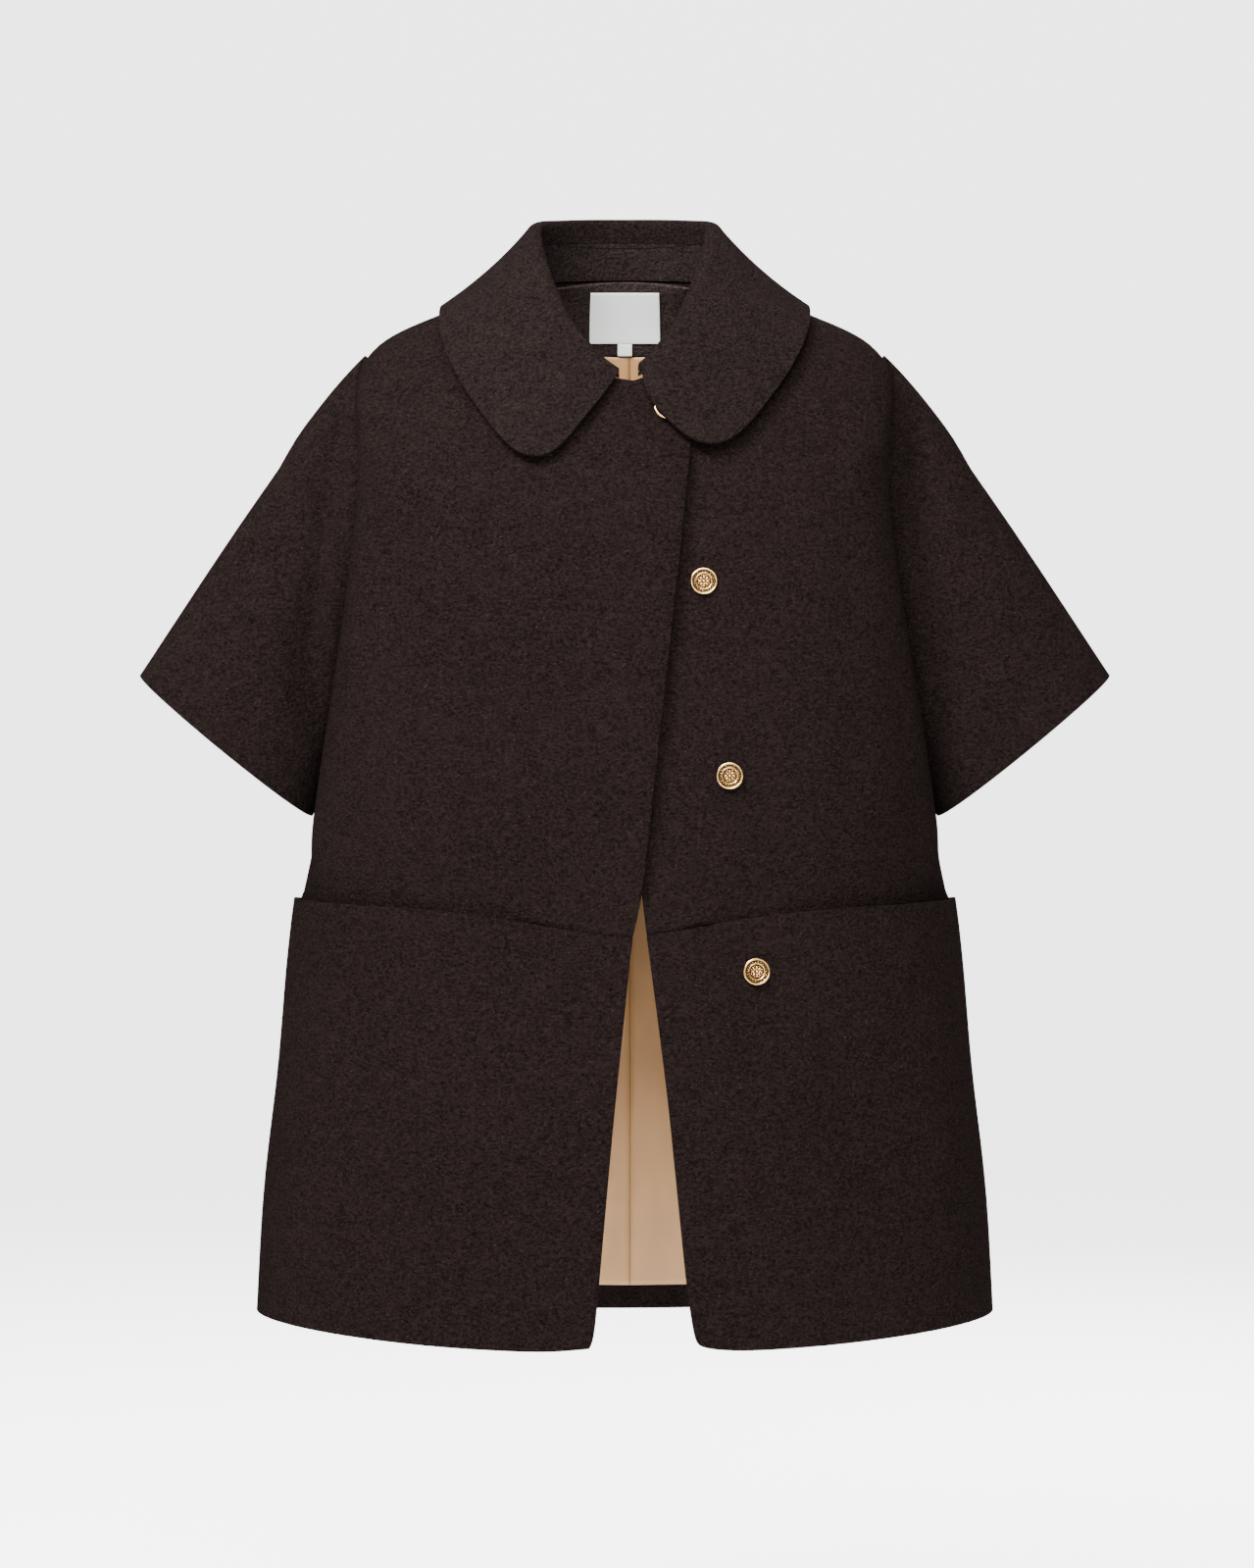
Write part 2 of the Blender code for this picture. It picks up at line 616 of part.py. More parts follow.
def sleeve_grid():
    """Sleeve on the wearer's left: a tube from the armhole to the cuff, round from the top
    over the front, the underarm and the back."""
    armhole = side_levels()[SHOULDER_ROWS:SHOULDER_ROWS + ARMHOLE_ROWS + 1]
    front = body("front", armhole, math.pi / 2)
    back = body("back", armhole[1:-1], math.pi / 2)[::-1]
    start = np.concatenate((front, back))
    count = len(armhole)
    share = np.linspace(0.0, 1.0, count)
    share = np.concatenate((share, 2.0 - share[1:-1][::-1]))
    around = math.pi * share
    chord = CUFF_FOOT - CUFF_TIP
    axis = np.array((math.cos(SLEEVE_SLOPE), 0.0, -math.sin(SLEEVE_SLOPE)))
    depth = np.sign(np.sin(around)) * np.abs(np.sin(around)) ** CUFF_SQUARE
    end = CUFF_TIP + np.outer(0.5 - 0.5 * np.cos(around), chord)
    end = end + np.outer(depth, (0.0, -CUFF_HALF_DEPTH, 0.0))
    end = end + np.outer(np.abs(np.sin(around)) * CUFF_BOW, axis)
    top = (0.5 + 0.5 * np.cos(around)) ** SHOULDER_SPREAD
    shoulder = np.array((math.cos(SHOULDER_SLOPE), 0.0, -math.sin(SHOULDER_SLOPE)))
    swell = np.outer(-depth * SLEEVE_FULLNESS, (0.0, 1.0, 0.0))
    length = np.linalg.norm(end - start, axis=1, keepdims=True)
    leave = unit((1.0 - top)[:, None] * (unit(end - start) + swell) + np.outer(top, shoulder))
    arrive = unit(np.outer(np.ones(len(around)), axis) - CUFF_FLARE * swell)
    t = np.linspace(0.0, 1.0, SLEEVE_ROWS + 1)[:, None, None]
    leave = leave * length * (SLEEVE_LEAVE + SHOULDER_LEAVE * top[:, None])
    arrive = arrive * length * SLEEVE_ARRIVE
    points = start * (2 * t**3 - 3 * t**2 + 1) + leave * (t**3 - 2 * t**2 + t)
    return points + end * (3 * t**2 - 2 * t**3) + arrive * (t**3 - t**2)


def grid_normals(points, closed):
    """Outward directions of a grid, from its neighbours along both ways."""
    down = np.gradient(points, axis=0)
    if closed:
        along = np.roll(points, -1, axis=1) - np.roll(points, 1, axis=1)
    else:
        along = np.gradient(points, axis=1)
    return unit(np.cross(down, along))


def build_sleeve(piece):
    points = sleeve_grid()
    normals = -grid_normals(points, closed=True)
    centre = points.mean(axis=1, keepdims=True)
    if np.sum(normals * (points - centre)) < 0.0:
        normals = -normals
    face = inset_borders(points, closed=True, sides=(1, 0, 0, 0), gap=ARMHOLE_INSET)
    back = face - WOOL * normals
    face, back = mirror_if(piece, face, back)
    return add_wall("sleeve_" + piece, face, back, "wool", closed=True)


# ---- collar -------------------------------------------------------------------------------------------
def roll_value(column, degrees):
    k = ROLL_COLUMNS.index(column)
    return smooth_curve([row[0] for row in ROLL], [row[k] for row in ROLL], degrees) * MM


def neck_frame(side, degrees):
    """Neck seam point and the level direction that points away from the neck. The turn runs
    from the centre front, over the side given by its sign, to the centre back at 180."""
    turn = np.radians(degrees)
    in_front = degrees <= 90.0
    front = body("front", 0.0, np.minimum(turn, math.pi / 2))
    back = body("back", 0.0, np.clip(math.pi - turn, 0.0, math.pi / 2))
    seam = np.where(in_front[..., None], front, back)
    sink = np.zeros(degrees.shape)
    if side == "left":
        sink = np.where(in_front, lap_offset("left", seam[..., 0], seam[..., 2]), 0.0)
    ahead = body("front", 0.0, np.minimum(turn + 0.01, math.pi / 2))
    behind = body("front", 0.0, np.clip(turn - 0.01, -math.pi / 2, math.pi / 2))
    along_front = ahead - behind
    ahead_back = body("back", 0.0, np.clip(math.pi - turn - 0.01, -math.pi / 2, math.pi / 2))
    behind_back = body("back", 0.0, np.clip(math.pi - turn + 0.01, -math.pi / 2, math.pi / 2))
    along = np.where(in_front[..., None], along_front, ahead_back - behind_back)
    along[..., 2] = 0.0
    along = unit(along)
    away = np.stack((-along[..., 1], along[..., 0], np.zeros(degrees.shape)), axis=-1)
    away = np.where((np.sum(away * (seam - (0.0, -0.01, seam[0, 2])), axis=-1) < 0.0)[..., None],
                    -away, away)
    return seam, away, sink


def collar_section(side, degrees):
    """Sections of stand and roll: for each turn the stand's face points and the roll's."""
    seam, away, sink = neck_frame(side, degrees)
    height = roll_value("height_mm", degrees)
    outer = roll_value("outer_mm", degrees)
    inner = roll_value("inner_mm", degrees) + sink
    up = np.array((0.0, 0.0, 1.0))
    radius = 0.5 * (outer - inner)
    centre = seam + away * (0.5 * (outer + inner))[:, None] + up * (height - radius)[:, None]
    stand_top = np.minimum(STAND_SHARE * height, height - radius - ROLL_CLEAR)
    foot_inner = -WOOL + sink
    lean = (inner - foot_inner) * (stand_top / (height - radius))
    stand_foot = seam + away * foot_inner[:, None] + up * 2.0 * SEAM_GAP
    stand_head = seam + away * (foot_inner + lean)[:, None] + up * stand_top[:, None]
    arc = []
    for angle in ROLL_ARC:
        bend = math.radians(angle)
        direction = away * math.cos(bend) + up * math.sin(bend)
        arc.append(centre + direction * radius[:, None])
    return stand_foot, stand_head, np.array(arc), away


def collar_turns(side):
    first = COLLAR_ENDS[0] if side == "right" else COLLAR_ENDS[1]
    front = np.linspace(first, 90.0, FRONT_EDGE_COLUMNS + LEAF_COLUMNS)
    back = np.linspace(90.0, 180.0, BACK_LEAF_COLUMNS + 1)[1:]
    return front, back


def leaf_edge(side):
    """Outer edge of a leaf, from the roll's end down its front edge, round the tip, up to the
    shoulder and round to the centre back."""
    hover = LEAF_HOVER[0] if side == "right" else LEAF_HOVER[1]
    outline = LEAF_RIGHT if side == "right" else LEAF_LEFT
    outline = curve_points(np.array(outline) * MM, FRONT_EDGE_COLUMNS + LEAF_COLUMNS - 1)
    level, turn = front_place(outline[:, 0], outline[:, 1])
    front = body("front", level, turn) + hover * outward("front", level, turn)
    side_level = np.array([RING_LEVELS[RING_COLLAR]])
    side_turn = np.array([math.pi / 2])
    last = body("front", side_level, side_turn) + LEAF_HOVER[0] * outward("front", side_level, side_turn)
    back_turn = math.pi / 2 * (1.0 - np.linspace(0.0, 1.0, BACK_LEAF_COLUMNS + 1)[1:])
    back = body("back", side_level[0], back_turn)
    back = back + LEAF_HOVER[0] * outward("back", np.full(back_turn.shape, side_level[0]), back_turn)
    edge = np.concatenate((front, last, back))
    over_shoulder = slice(len(front) - SHOULDER_REACH, len(front) + SHOULDER_REACH + 1)
    for _ in range(SHOULDER_PASSES):
        nearby = 0.5 * (edge[:-2] + edge[2:])
        edge[1:-1][over_shoulder] = 0.5 * (edge[1:-1] + nearby)[over_shoulder]
    return edge


def half_collar(side):
    """Grid of the leaf's outward face on one side: rows from the stand over the roll to the
    edge, columns from the front end to the centre back. The wearer's left is on +X."""
    front, back = collar_turns(side)
    degrees = np.concatenate((front, back))
    _, head, arc, away = collar_section(side, degrees)
    edge = leaf_edge(side)
    end = LEAF_RIGHT_END if side == "right" else LEAF_LEFT_END
    hover = LEAF_HOVER[0] if side == "right" else LEAF_HOVER[1]
    bulge = table_value(LEAF_BULGE, degrees * MM)[:, None]
    tip = edge[0]
    level, turn = front_place(np.array([p[0] for p in end]) * MM, np.array([p[1] for p in end]) * MM)
    low = body("front", level, turn)
    height = np.linspace(END_HOVER_SHARE * hover, hover, len(end))
    middle = low + height[:, None] * outward("front", level, turn)
    start = arc[-1][0]
    first_column = curve_points(np.concatenate(([start], middle, [tip])), LEAF_ROWS + 1)
    share = np.linspace(0.0, 1.0, LEAF_ROWS + 1)[1:, None, None]
    begin = arc[-1]
    across = edge - begin
    along = np.gradient(edge, axis=0)
    bow = unit(np.cross(across, along))
    bow = np.where((np.sum(bow * away, axis=-1) < 0.0)[..., None], -bow, bow)
    leaf = begin + share * across + 4.0 * share * (1.0 - share) * bulge * bow
    part = share[:, 0]
    straight = begin[0] + part * across[0] + 4.0 * part * (1.0 - part) * bulge[0] * bow[0]
    shift = first_column[1:] - straight
    columns = np.arange(len(degrees))
    fade = np.clip(1.0 - columns / (FRONT_EDGE_COLUMNS + 2.0), 0.0, 1.0) ** 2
    leaf = leaf + shift[:, None, :] * fade[None, :, None]
    head = head + (0.0, 0.0, SEAM_GAP)
    return np.concatenate((head[None], arc, leaf))


def whole_collar(make):
    """Both halves joined at the centre back."""
    right = make("right") * (-1.0, 1.0, 1.0)
    left = make("left")
    middle = 0.5 * (right[:, -1:] + left[:, -1:])
    return np.concatenate((right[:, :-1], middle, left[:, :-1][:, ::-1]), axis=1)


def half_away(side):
    front, back = collar_turns(side)
    return collar_section(side, np.concatenate((front, back)))[3][None]


def whole_away():
    """Level directions away from the neck, from the right front end to the left one."""
    return whole_collar(half_away)[0]


def build_collar():
    face = whole_collar(half_collar)
    normals = grid_normals(face, closed=False)
    crest = len(ROLL_ARC) // 2 + 1
    if normals[crest, face.shape[1] // 2, 2] < 0.0:
        normals = -normals
    normals[0] = -whole_away()
    return add_wall("collar", face, face - COLLAR_CLOTH * normals, "wool")


def half_stand(side):
    front, back = collar_turns(side)
    degrees = np.concatenate((front, back))
    foot, head, _, _ = collar_section(side, degrees)
    share = np.linspace(0.0, 1.0, STAND_ROWS + 1)[:, None, None]
    return foot + share * (head - foot)


def build_stand():
    face = whole_collar(half_stand)
    return add_wall("collar_stand", face, face + WOOL * whole_away(), "wool")


# ---- inside the back ----------------------------------------------------------------------------------
def lining_top():
    """Level of the row of the back nearest to the foot of the neck facing."""
    levels = back_levels()
    depth = ring("z_back", levels)
    return int(np.argmin(np.abs(depth + FACING_DEPTH)))


def build_facing():
    levels = back_levels()[:lining_top() + 1]
    turns = back_turns()
    level, turn = np.meshgrid(levels, turns[1:-1], indexing="ij")
    normals = outward("back", level, turn)
    face = back_face(level, turn, -(WOOL + LAYER_GAP))
    face = inset_borders(face)
    return add_wall("neck_facing", face, face - FACING_CLOTH * normals, "wool")


def build_lining(piece):
    levels = back_levels()
    turns = back_turns()
    middle = len(turns) // 2
    rows = levels[lining_top()::2]
    last = LEVEL_HEM - LINING_RISE
    rows = np.concatenate((rows[rows < last - 0.01], [last]))
    rows[0] += LINING_GAP
    columns = turns[middle::2]
    if columns[-1] < turns[-1] - 1e-6:
        columns = np.concatenate((columns, [turns[-1]]))
    if piece == "right":
        columns = -columns
    level, turn = np.meshgrid(rows, columns, indexing="ij")
    turn = turn.copy()
    turn[:, 0] = at_turn(level[:, 0], np.full(len(rows), LINING_SEAM))
    normals = outward("back", level, turn)
    ease = LINING_EASE * step(np.degrees(np.abs(turn)), *EASE_TURNS)
    face = back_face(level, turn, -(WOOL + LAYER_GAP) - ease)
    face = inset_borders(face)
    return add_wall("lining_" + piece, face, face - LINING_CLOTH * normals, "lining")


def back_patch(left, right, top, foot, columns, rows, outset, name):
    """A small piece that lies on the inside of the back, between four heights and places."""
    x = np.linspace(left, right, columns + 1)
    z = np.linspace(top, foot, rows + 1)
    x, z = np.meshgrid(x, z)

    def height(level):
        return body("back", level, at_turn(level, x))[..., 2] - z

    level = solve_level(height, np.zeros(x.shape), np.full(x.shape, LEVEL_SHOULDER))
    turn = at_turn(level, x)
    normals = outward("back", level, turn)
    face = back_face(level, turn, outset)
    return add_wall(name, face, face - LABEL_CLOTH * normals, "label")


def build_label():
    half = LABEL_SIZE[0] / 2
    inside = -(WOOL + LAYER_GAP + FACING_CLOTH + LAYER_GAP)
    foot = -LABEL_DROP - LABEL_SIZE[1]
    back_patch(-half, half, -LABEL_DROP, foot, 6, 4, inside, "label")
    tab_half = TAB_SIZE[0] / 2
    back_patch(-tab_half, tab_half, foot - SEAM_GAP, foot - TAB_SIZE[1], 2, 1, inside, "size_tab")


# ---- buttons ---------------------------------------------------------------------------------------------
def build_button(number, piece, x, z):
    place_level, place_turn = front_place(np.array([x]), np.array([z]))
    if z > waist_height(x):
        face = front_face(piece, place_level, place_turn)[0]
    else:
        face = lower_face(piece, place_level, place_turn)[0]
    normal = outward("front", place_level, place_turn)[0]
    if piece == "right":
        face = face * (-1.0, 1.0, 1.0)
        normal = normal * (-1.0, 1.0, 1.0)
    disc = bmesh.new()
    profile = [disc.verts.new((radius * MM, 0.0, height * MM)) for radius, height in BUTTON_PROFILE]
    edges = [disc.edges.new(pair) for pair in zip(profile, profile[1:])]
    bmesh.ops.spin(disc, geom=profile + edges, cent=(0.0, 0.0, 0.0), axis=(0.0, 0.0, 1.0),
                   angle=2.0 * math.pi, steps=BUTTON_STEPS, use_merge=True)
    bmesh.ops.remove_doubles(disc, verts=disc.verts, dist=1e-6)
    bmesh.ops.recalc_face_normals(disc, faces=disc.faces)
    if disc.calc_volume(signed=True) < 0.0:
        bmesh.ops.reverse_faces(disc, faces=disc.faces)
    item = add_object("button_%d" % number, disc, "button_gold", smooth_angle=30.0)
    axis = np.array(normal)
    item.location = face + BUTTON_GAP * axis
    item.rotation_mode = "QUATERNION"
    item.rotation_quaternion = rotation_to(axis)
    return item


def rotation_to(axis):
    """Quaternion that turns +Z to an axis."""
    half = unit(np.array((0.0, 0.0, 1.0)) + axis)
    cross = np.cross((0.0, 0.0, 1.0), half)
    return (float(half[2]), float(cross[0]), float(cross[1]), float(cross[2]))


def main():
    clear_scene()
    for piece in ("right", "left"):
        build_front(piece)
        build_lower_front(piece)
        build_pocket_bag(piece)
        build_sleeve(piece)
        build_lining(piece)
    build_back()
    build_stand()
    build_collar()
    build_facing()
    build_label()
    for number, (x, z) in enumerate(BUTTONS, start=1):
        if number == 1:
            build_button(number, "right", -x * MM, z * MM)
        else:
            build_button(number, "left", x * MM, z * MM)
    bpy.context.view_layer.update()


main()
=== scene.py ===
import math

import bmesh
import bpy
import numpy as np
from mathutils import Matrix, Vector
from mathutils.bvhtree import BVHTree


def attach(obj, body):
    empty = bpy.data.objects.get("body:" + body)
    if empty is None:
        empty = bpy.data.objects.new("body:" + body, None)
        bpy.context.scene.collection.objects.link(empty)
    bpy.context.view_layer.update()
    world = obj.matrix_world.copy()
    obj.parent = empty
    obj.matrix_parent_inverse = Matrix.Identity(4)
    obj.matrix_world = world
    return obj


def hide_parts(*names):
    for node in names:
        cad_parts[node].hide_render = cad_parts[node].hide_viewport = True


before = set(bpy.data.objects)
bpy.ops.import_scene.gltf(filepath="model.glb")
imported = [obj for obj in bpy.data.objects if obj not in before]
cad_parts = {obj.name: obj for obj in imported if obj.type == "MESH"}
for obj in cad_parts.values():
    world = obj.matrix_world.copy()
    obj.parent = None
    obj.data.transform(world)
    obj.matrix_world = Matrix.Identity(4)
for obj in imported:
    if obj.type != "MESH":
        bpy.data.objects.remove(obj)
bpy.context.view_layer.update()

MM = 0.001

# %% [markdown]
# The camera. The photograph looks straight at the front of the coat from far away, so that
# nothing is drawn together by perspective. A long lens three and a half metres away gives that
# look. The coat stands a hair to the left of the middle, which a small lens shift matches.

# %% Camera
PHOTO_DISTANCE = 3.5
PHOTO_HEIGHT = -0.396
FOCAL_LENGTH = 103.7           # mm, on a frame of this width in mm
FRAME_WIDTH = 36.0
SIDE_SHIFT = 0.0014            # share of the frame's width

lens = bpy.data.cameras.new("photo_camera")
lens.lens = FOCAL_LENGTH
lens.sensor_width = FRAME_WIDTH
lens.shift_x = SIDE_SHIFT
camera = bpy.data.objects.new("photo_camera", lens)
bpy.context.scene.collection.objects.link(camera)
camera.location = (0.0, -PHOTO_DISTANCE, PHOTO_HEIGHT)
camera.rotation_euler = (math.radians(90.0), 0.0, 0.0)
bpy.context.scene.camera = camera
print("camera at", tuple(camera.location))

# %% [markdown]
# The studio. The coat hangs in front of a pale paper sweep: a floor that curves up into a wall,
# so no corner line shows. The wide strip is a plane whose far edge is extruded upward in small
# turning steps, as one would bend the paper by hand.

# %% Selection helpers and paper sweep
def deselect():
    bpy.ops.object.select_all(action="DESELECT")


def make_active(piece):
    deselect()
    piece.select_set(True)
    bpy.context.view_layer.objects.active = piece


def join_to(target, pieces):
    make_active(target)
    for item in pieces:
        item.select_set(True)
    bpy.ops.object.join()


PAPER_FLOOR = -1.16
PAPER_FRONT = -7.0
PAPER_BACK = 6.0
PAPER_BEND = 3.0               # radius of the bend
PAPER_WIDTH = 26.0
PAPER_WALL = 6.0               # straight part above the bend
BEND_STEPS = 14

deselect()
bpy.ops.mesh.primitive_plane_add(size=1.0, location=(0.0, 0.0, 0.0))
paper = bpy.context.active_object
paper.name = "paper_sweep"
for corner in paper.data.vertices:
    along = PAPER_FRONT if corner.co.y < 0.0 else PAPER_BACK
    corner.co = (corner.co.x * PAPER_WIDTH, along, PAPER_FLOOR)
bpy.ops.object.mode_set(mode="EDIT")
bpy.ops.mesh.select_mode(type="EDGE")
bpy.ops.mesh.select_all(action="DESELECT")
bpy.ops.object.mode_set(mode="OBJECT")
for edge in paper.data.edges:
    edge.select = all(paper.data.vertices[i].co.y > 0.0 for i in edge.vertices)
bpy.ops.object.mode_set(mode="EDIT")
for k in range(BEND_STEPS):
    angle = math.radians(90.0 * (k + 0.5) / BEND_STEPS)
    length = PAPER_BEND * math.radians(90.0) / BEND_STEPS
    move = (0.0, length * math.cos(angle), length * math.sin(angle))
    bpy.ops.mesh.extrude_region_move(TRANSFORM_OT_translate={"value": move})
bpy.ops.mesh.extrude_region_move(TRANSFORM_OT_translate={"value": (0.0, 0.0, PAPER_WALL)})
bpy.ops.object.mode_set(mode="OBJECT")
bpy.ops.object.shade_smooth()
print("paper sweep:", len(paper.data.polygons), "strips")

# %% [markdown]
# The light. The photograph is lit softly from above and a little from the left: the left collar
# leaf is lighter than the right one, and the right side fold throws a dark shadow on its sleeve.
# A key lamp above and to the left does that. Lamps in front and overhead open the shadows, and the
# pale surroundings do the rest. A studio lights its paper apart from the coat and flags that light
# off the coat, so the paper and what lies beyond it glow for the camera alone. Lamps behind and
# beside the coat show its back and its sleeves from there. Metal buttons mirror the lamps.

# %% Lamps and surroundings
LAMP_ASPECT = 0.8
COAT_MIDDLE = (0.0, 0.0, -0.40)
SURROUNDING_LIGHT = 0.42
PAPER_GLOW = 3.0


def soft_lamp(name, place, aim, width, power):
    data = bpy.data.lights.new(name, "AREA")
    data.shape = "RECTANGLE"
    data.size = width
    data.size_y = width * LAMP_ASPECT
    data.energy = power
    lamp = bpy.data.objects.new(name, data)
    bpy.context.scene.collection.objects.link(lamp)
    lamp.location = place
    lamp.rotation_euler = (Vector(aim) - Vector(place)).to_track_quat("-Z", "Y").to_euler()


# name, place, what it faces, width in metres, power in watts
soft_lamp("key_lamp", (-1.0, -1.5, 1.3), (0.0, 0.0, -0.15), 0.8, 130.0)
soft_lamp("front_lamp", (-0.1, -2.3, 1.3), (0.0, 0.0, -0.20), 1.1, 105.0)
soft_lamp("fill_lamp", (0.2, -4.2, 0.3), (0.0, 0.0, -0.10), 1.2, 75.0)
soft_lamp("top_lamp", (0.0, 0.1, 2.4), COAT_MIDDLE, 2.0, 60.0)
soft_lamp("back_lamp", (0.8, 2.6, 1.3), (0.0, 0.0, -0.20), 1.4, 190.0)
soft_lamp("left_lamp", (2.7, 1.4, 0.9), COAT_MIDDLE, 1.2, 70.0)
soft_lamp("right_lamp", (-2.7, 1.4, 0.9), COAT_MIDDLE, 1.2, 70.0)

surroundings = bpy.data.worlds.new("pale_studio")
bpy.context.scene.world = surroundings
surroundings.use_nodes = True
tree = surroundings.node_tree
tree.nodes["Background"].inputs["Color"].default_value = (1.0, 1.0, 1.0, 1.0)
seen = tree.nodes.new("ShaderNodeLightPath").outputs["Is Camera Ray"]
glow = tree.nodes.new("ShaderNodeMath")
glow.operation = "MULTIPLY_ADD"
tree.links.new(seen, glow.inputs[0])
glow.inputs[1].default_value = PAPER_GLOW - SURROUNDING_LIGHT
glow.inputs[2].default_value = SURROUNDING_LIGHT
tree.links.new(glow.outputs["Value"], tree.nodes["Background"].inputs["Strength"])
print("lamps:", len(bpy.data.lights))

# %% [markdown]
# Wool. The coat is cut from a thick felted wool in which dark brown, black and a few paler,
# greenish fibres are blended. Close up it shows fine flecks, a soft mottling that runs a little
# sideways, and a short raised nap. Five noises of different sizes make these. They are built once
# as a node group, and every wool part uses it. The noises read the Object coordinates, in
# metres, so a scale of 1000 makes marks of about a millimetre.

# %% Node helpers
def new_group(name, inputs, outputs):
    group = bpy.data.node_groups.new(name, "ShaderNodeTree")
    for socket_name, socket_type, value in inputs:
        socket = group.interface.new_socket(socket_name, in_out="INPUT", socket_type=socket_type)
        socket.default_value = value
    for socket_name, socket_type in outputs:
        group.interface.new_socket(socket_name, in_out="OUTPUT", socket_type=socket_type)
    return group, group.nodes.new("NodeGroupInput"), group.nodes.new("NodeGroupOutput")


def add_node(tree, kind, **settings):
    node = tree.nodes.new(kind)
    for key, value in settings.items():
        setattr(node, key, value)
    return node


def object_coords(tree):
    return add_node(tree, "ShaderNodeTexCoord").outputs["Object"]


def noise(tree, vector, scale, detail=2.0, roughness=0.5):
    node = add_node(tree, "ShaderNodeTexNoise")
    tree.links.new(vector, node.inputs["Vector"])
    if isinstance(scale, (int, float)):
        node.inputs["Scale"].default_value = scale
    else:
        tree.links.new(scale, node.inputs["Scale"])
    node.inputs["Detail"].default_value = detail
    node.inputs["Roughness"].default_value = roughness
    return node.outputs["Fac"]


def stretch(tree, vector, scale):
    node = add_node(tree, "ShaderNodeMapping")
    tree.links.new(vector, node.inputs["Vector"])
    node.inputs["Scale"].default_value = scale
    return node.outputs["Vector"]


def remap(tree, value, low, high, to_low=0.0, to_high=1.0):
    node = add_node(tree, "ShaderNodeMapRange")
    tree.links.new(value, node.inputs["Value"])
    node.inputs["From Min"].default_value = low
    node.inputs["From Max"].default_value = high
    node.inputs["To Min"].default_value = to_low
    node.inputs["To Max"].default_value = to_high
    return node.outputs["Result"]


def blend_colours(tree, factor, first, second):
    node = add_node(tree, "ShaderNodeMix", data_type="RGBA")
    tree.links.new(factor, node.inputs["Factor"])
    for socket, colour in ((node.inputs["A"], first), (node.inputs["B"], second)):
        if hasattr(colour, "is_linked"):
            tree.links.new(colour, socket)
        else:
            socket.default_value = colour
    return node.outputs["Result"]


def combine(tree, operation, first, second):
    node = add_node(tree, "ShaderNodeMath", operation=operation)
    for socket, value in zip(node.inputs, (first, second)):
        if hasattr(value, "is_linked"):
            tree.links.new(value, socket)
        else:
            socket.default_value = value
    return node.outputs["Value"]


def weighted_sum(tree, parts):
    """Adds up pairs of a value and its weight, in their order."""
    total = None
    for value, weight in parts:
        part = combine(tree, "MULTIPLY", value, weight)
        total = part if total is None else combine(tree, "ADD", total, part)
    return total


# %% Wool nap group
nap, nap_in, nap_out = new_group(
    "felted_wool",
    (("Dark Fibre", "NodeSocketColor", (0.0010, 0.0007, 0.0007, 1.0)),
     ("Brown Fibre", "NodeSocketColor", (0.0162, 0.0106, 0.0099, 1.0)),
     ("Pale Fleck", "NodeSocketColor", (0.046, 0.042, 0.034, 1.0)),
     ("Fibre Scale", "NodeSocketFloat", 950.0)),
    (("Color", "NodeSocketColor"), ("Height", "NodeSocketFloat"), ("Roughness", "NodeSocketFloat")))
coords = object_coords(nap)
fibres = noise(nap, stretch(nap, coords, (0.9, 0.9, 1.1)), nap_in.outputs["Fibre Scale"], 3.0, 0.6)
tufts = noise(nap, stretch(nap, coords, (0.85, 0.85, 1.15)), 420.0, 3.0, 0.6)
mottle = noise(nap, stretch(nap, coords, (1.0, 1.0, 1.25)), 60.0, 4.0, 0.62)
clouds = noise(nap, coords, 9.0, 2.0, 0.5)
flecks = noise(nap, stretch(nap, coords, (0.8, 0.8, 1.2)), 900.0, 1.0, 0.4)
# each noise, cut to its middle range, and its share in the shade
shade = weighted_sum(nap, (
    (remap(nap, fibres, 0.38, 0.62), 0.40), (remap(nap, tufts, 0.38, 0.62), 0.44),
    (remap(nap, mottle, 0.32, 0.68), 0.10), (remap(nap, clouds, 0.3, 0.7), 0.06)))
cloth_colour = blend_colours(nap, shade, nap_in.outputs["Dark Fibre"], nap_in.outputs["Brown Fibre"])
fleck_mask = combine(nap, "MULTIPLY", remap(nap, flecks, 0.68, 0.80), 0.55)
nap.links.new(blend_colours(nap, fleck_mask, cloth_colour, nap_in.outputs["Pale Fleck"]),
              nap_out.inputs["Color"])
nap_height = weighted_sum(nap, ((fibres, 0.35), (tufts, 1.1), (mottle, 0.5)))
nap.links.new(nap_height, nap_out.inputs["Height"])
nap.links.new(remap(nap, tufts, 0.3, 0.7, 0.86, 0.98), nap_out.inputs["Roughness"])
print("felted_wool group:", len(nap.nodes), "nodes")


# %% Wool material
def plain_material(name):
    material = bpy.data.materials.new(name)
    material.use_nodes = True
    return material, material.node_tree, material.node_tree.nodes["Principled BSDF"]


def place_group(tree, group, **values):
    node = add_node(tree, "ShaderNodeGroup", node_tree=group)
    for key, value in values.items():
        node.inputs[key.replace("_", " ")].default_value = value
    return node


def bumped(tree, shader, height, distance, strength=1.0):
    bump = add_node(tree, "ShaderNodeBump")
    bump.inputs["Distance"].default_value = distance
    bump.inputs["Strength"].default_value = strength
    tree.links.new(height, bump.inputs["Height"])
    tree.links.new(bump.outputs["Normal"], shader.inputs["Normal"])


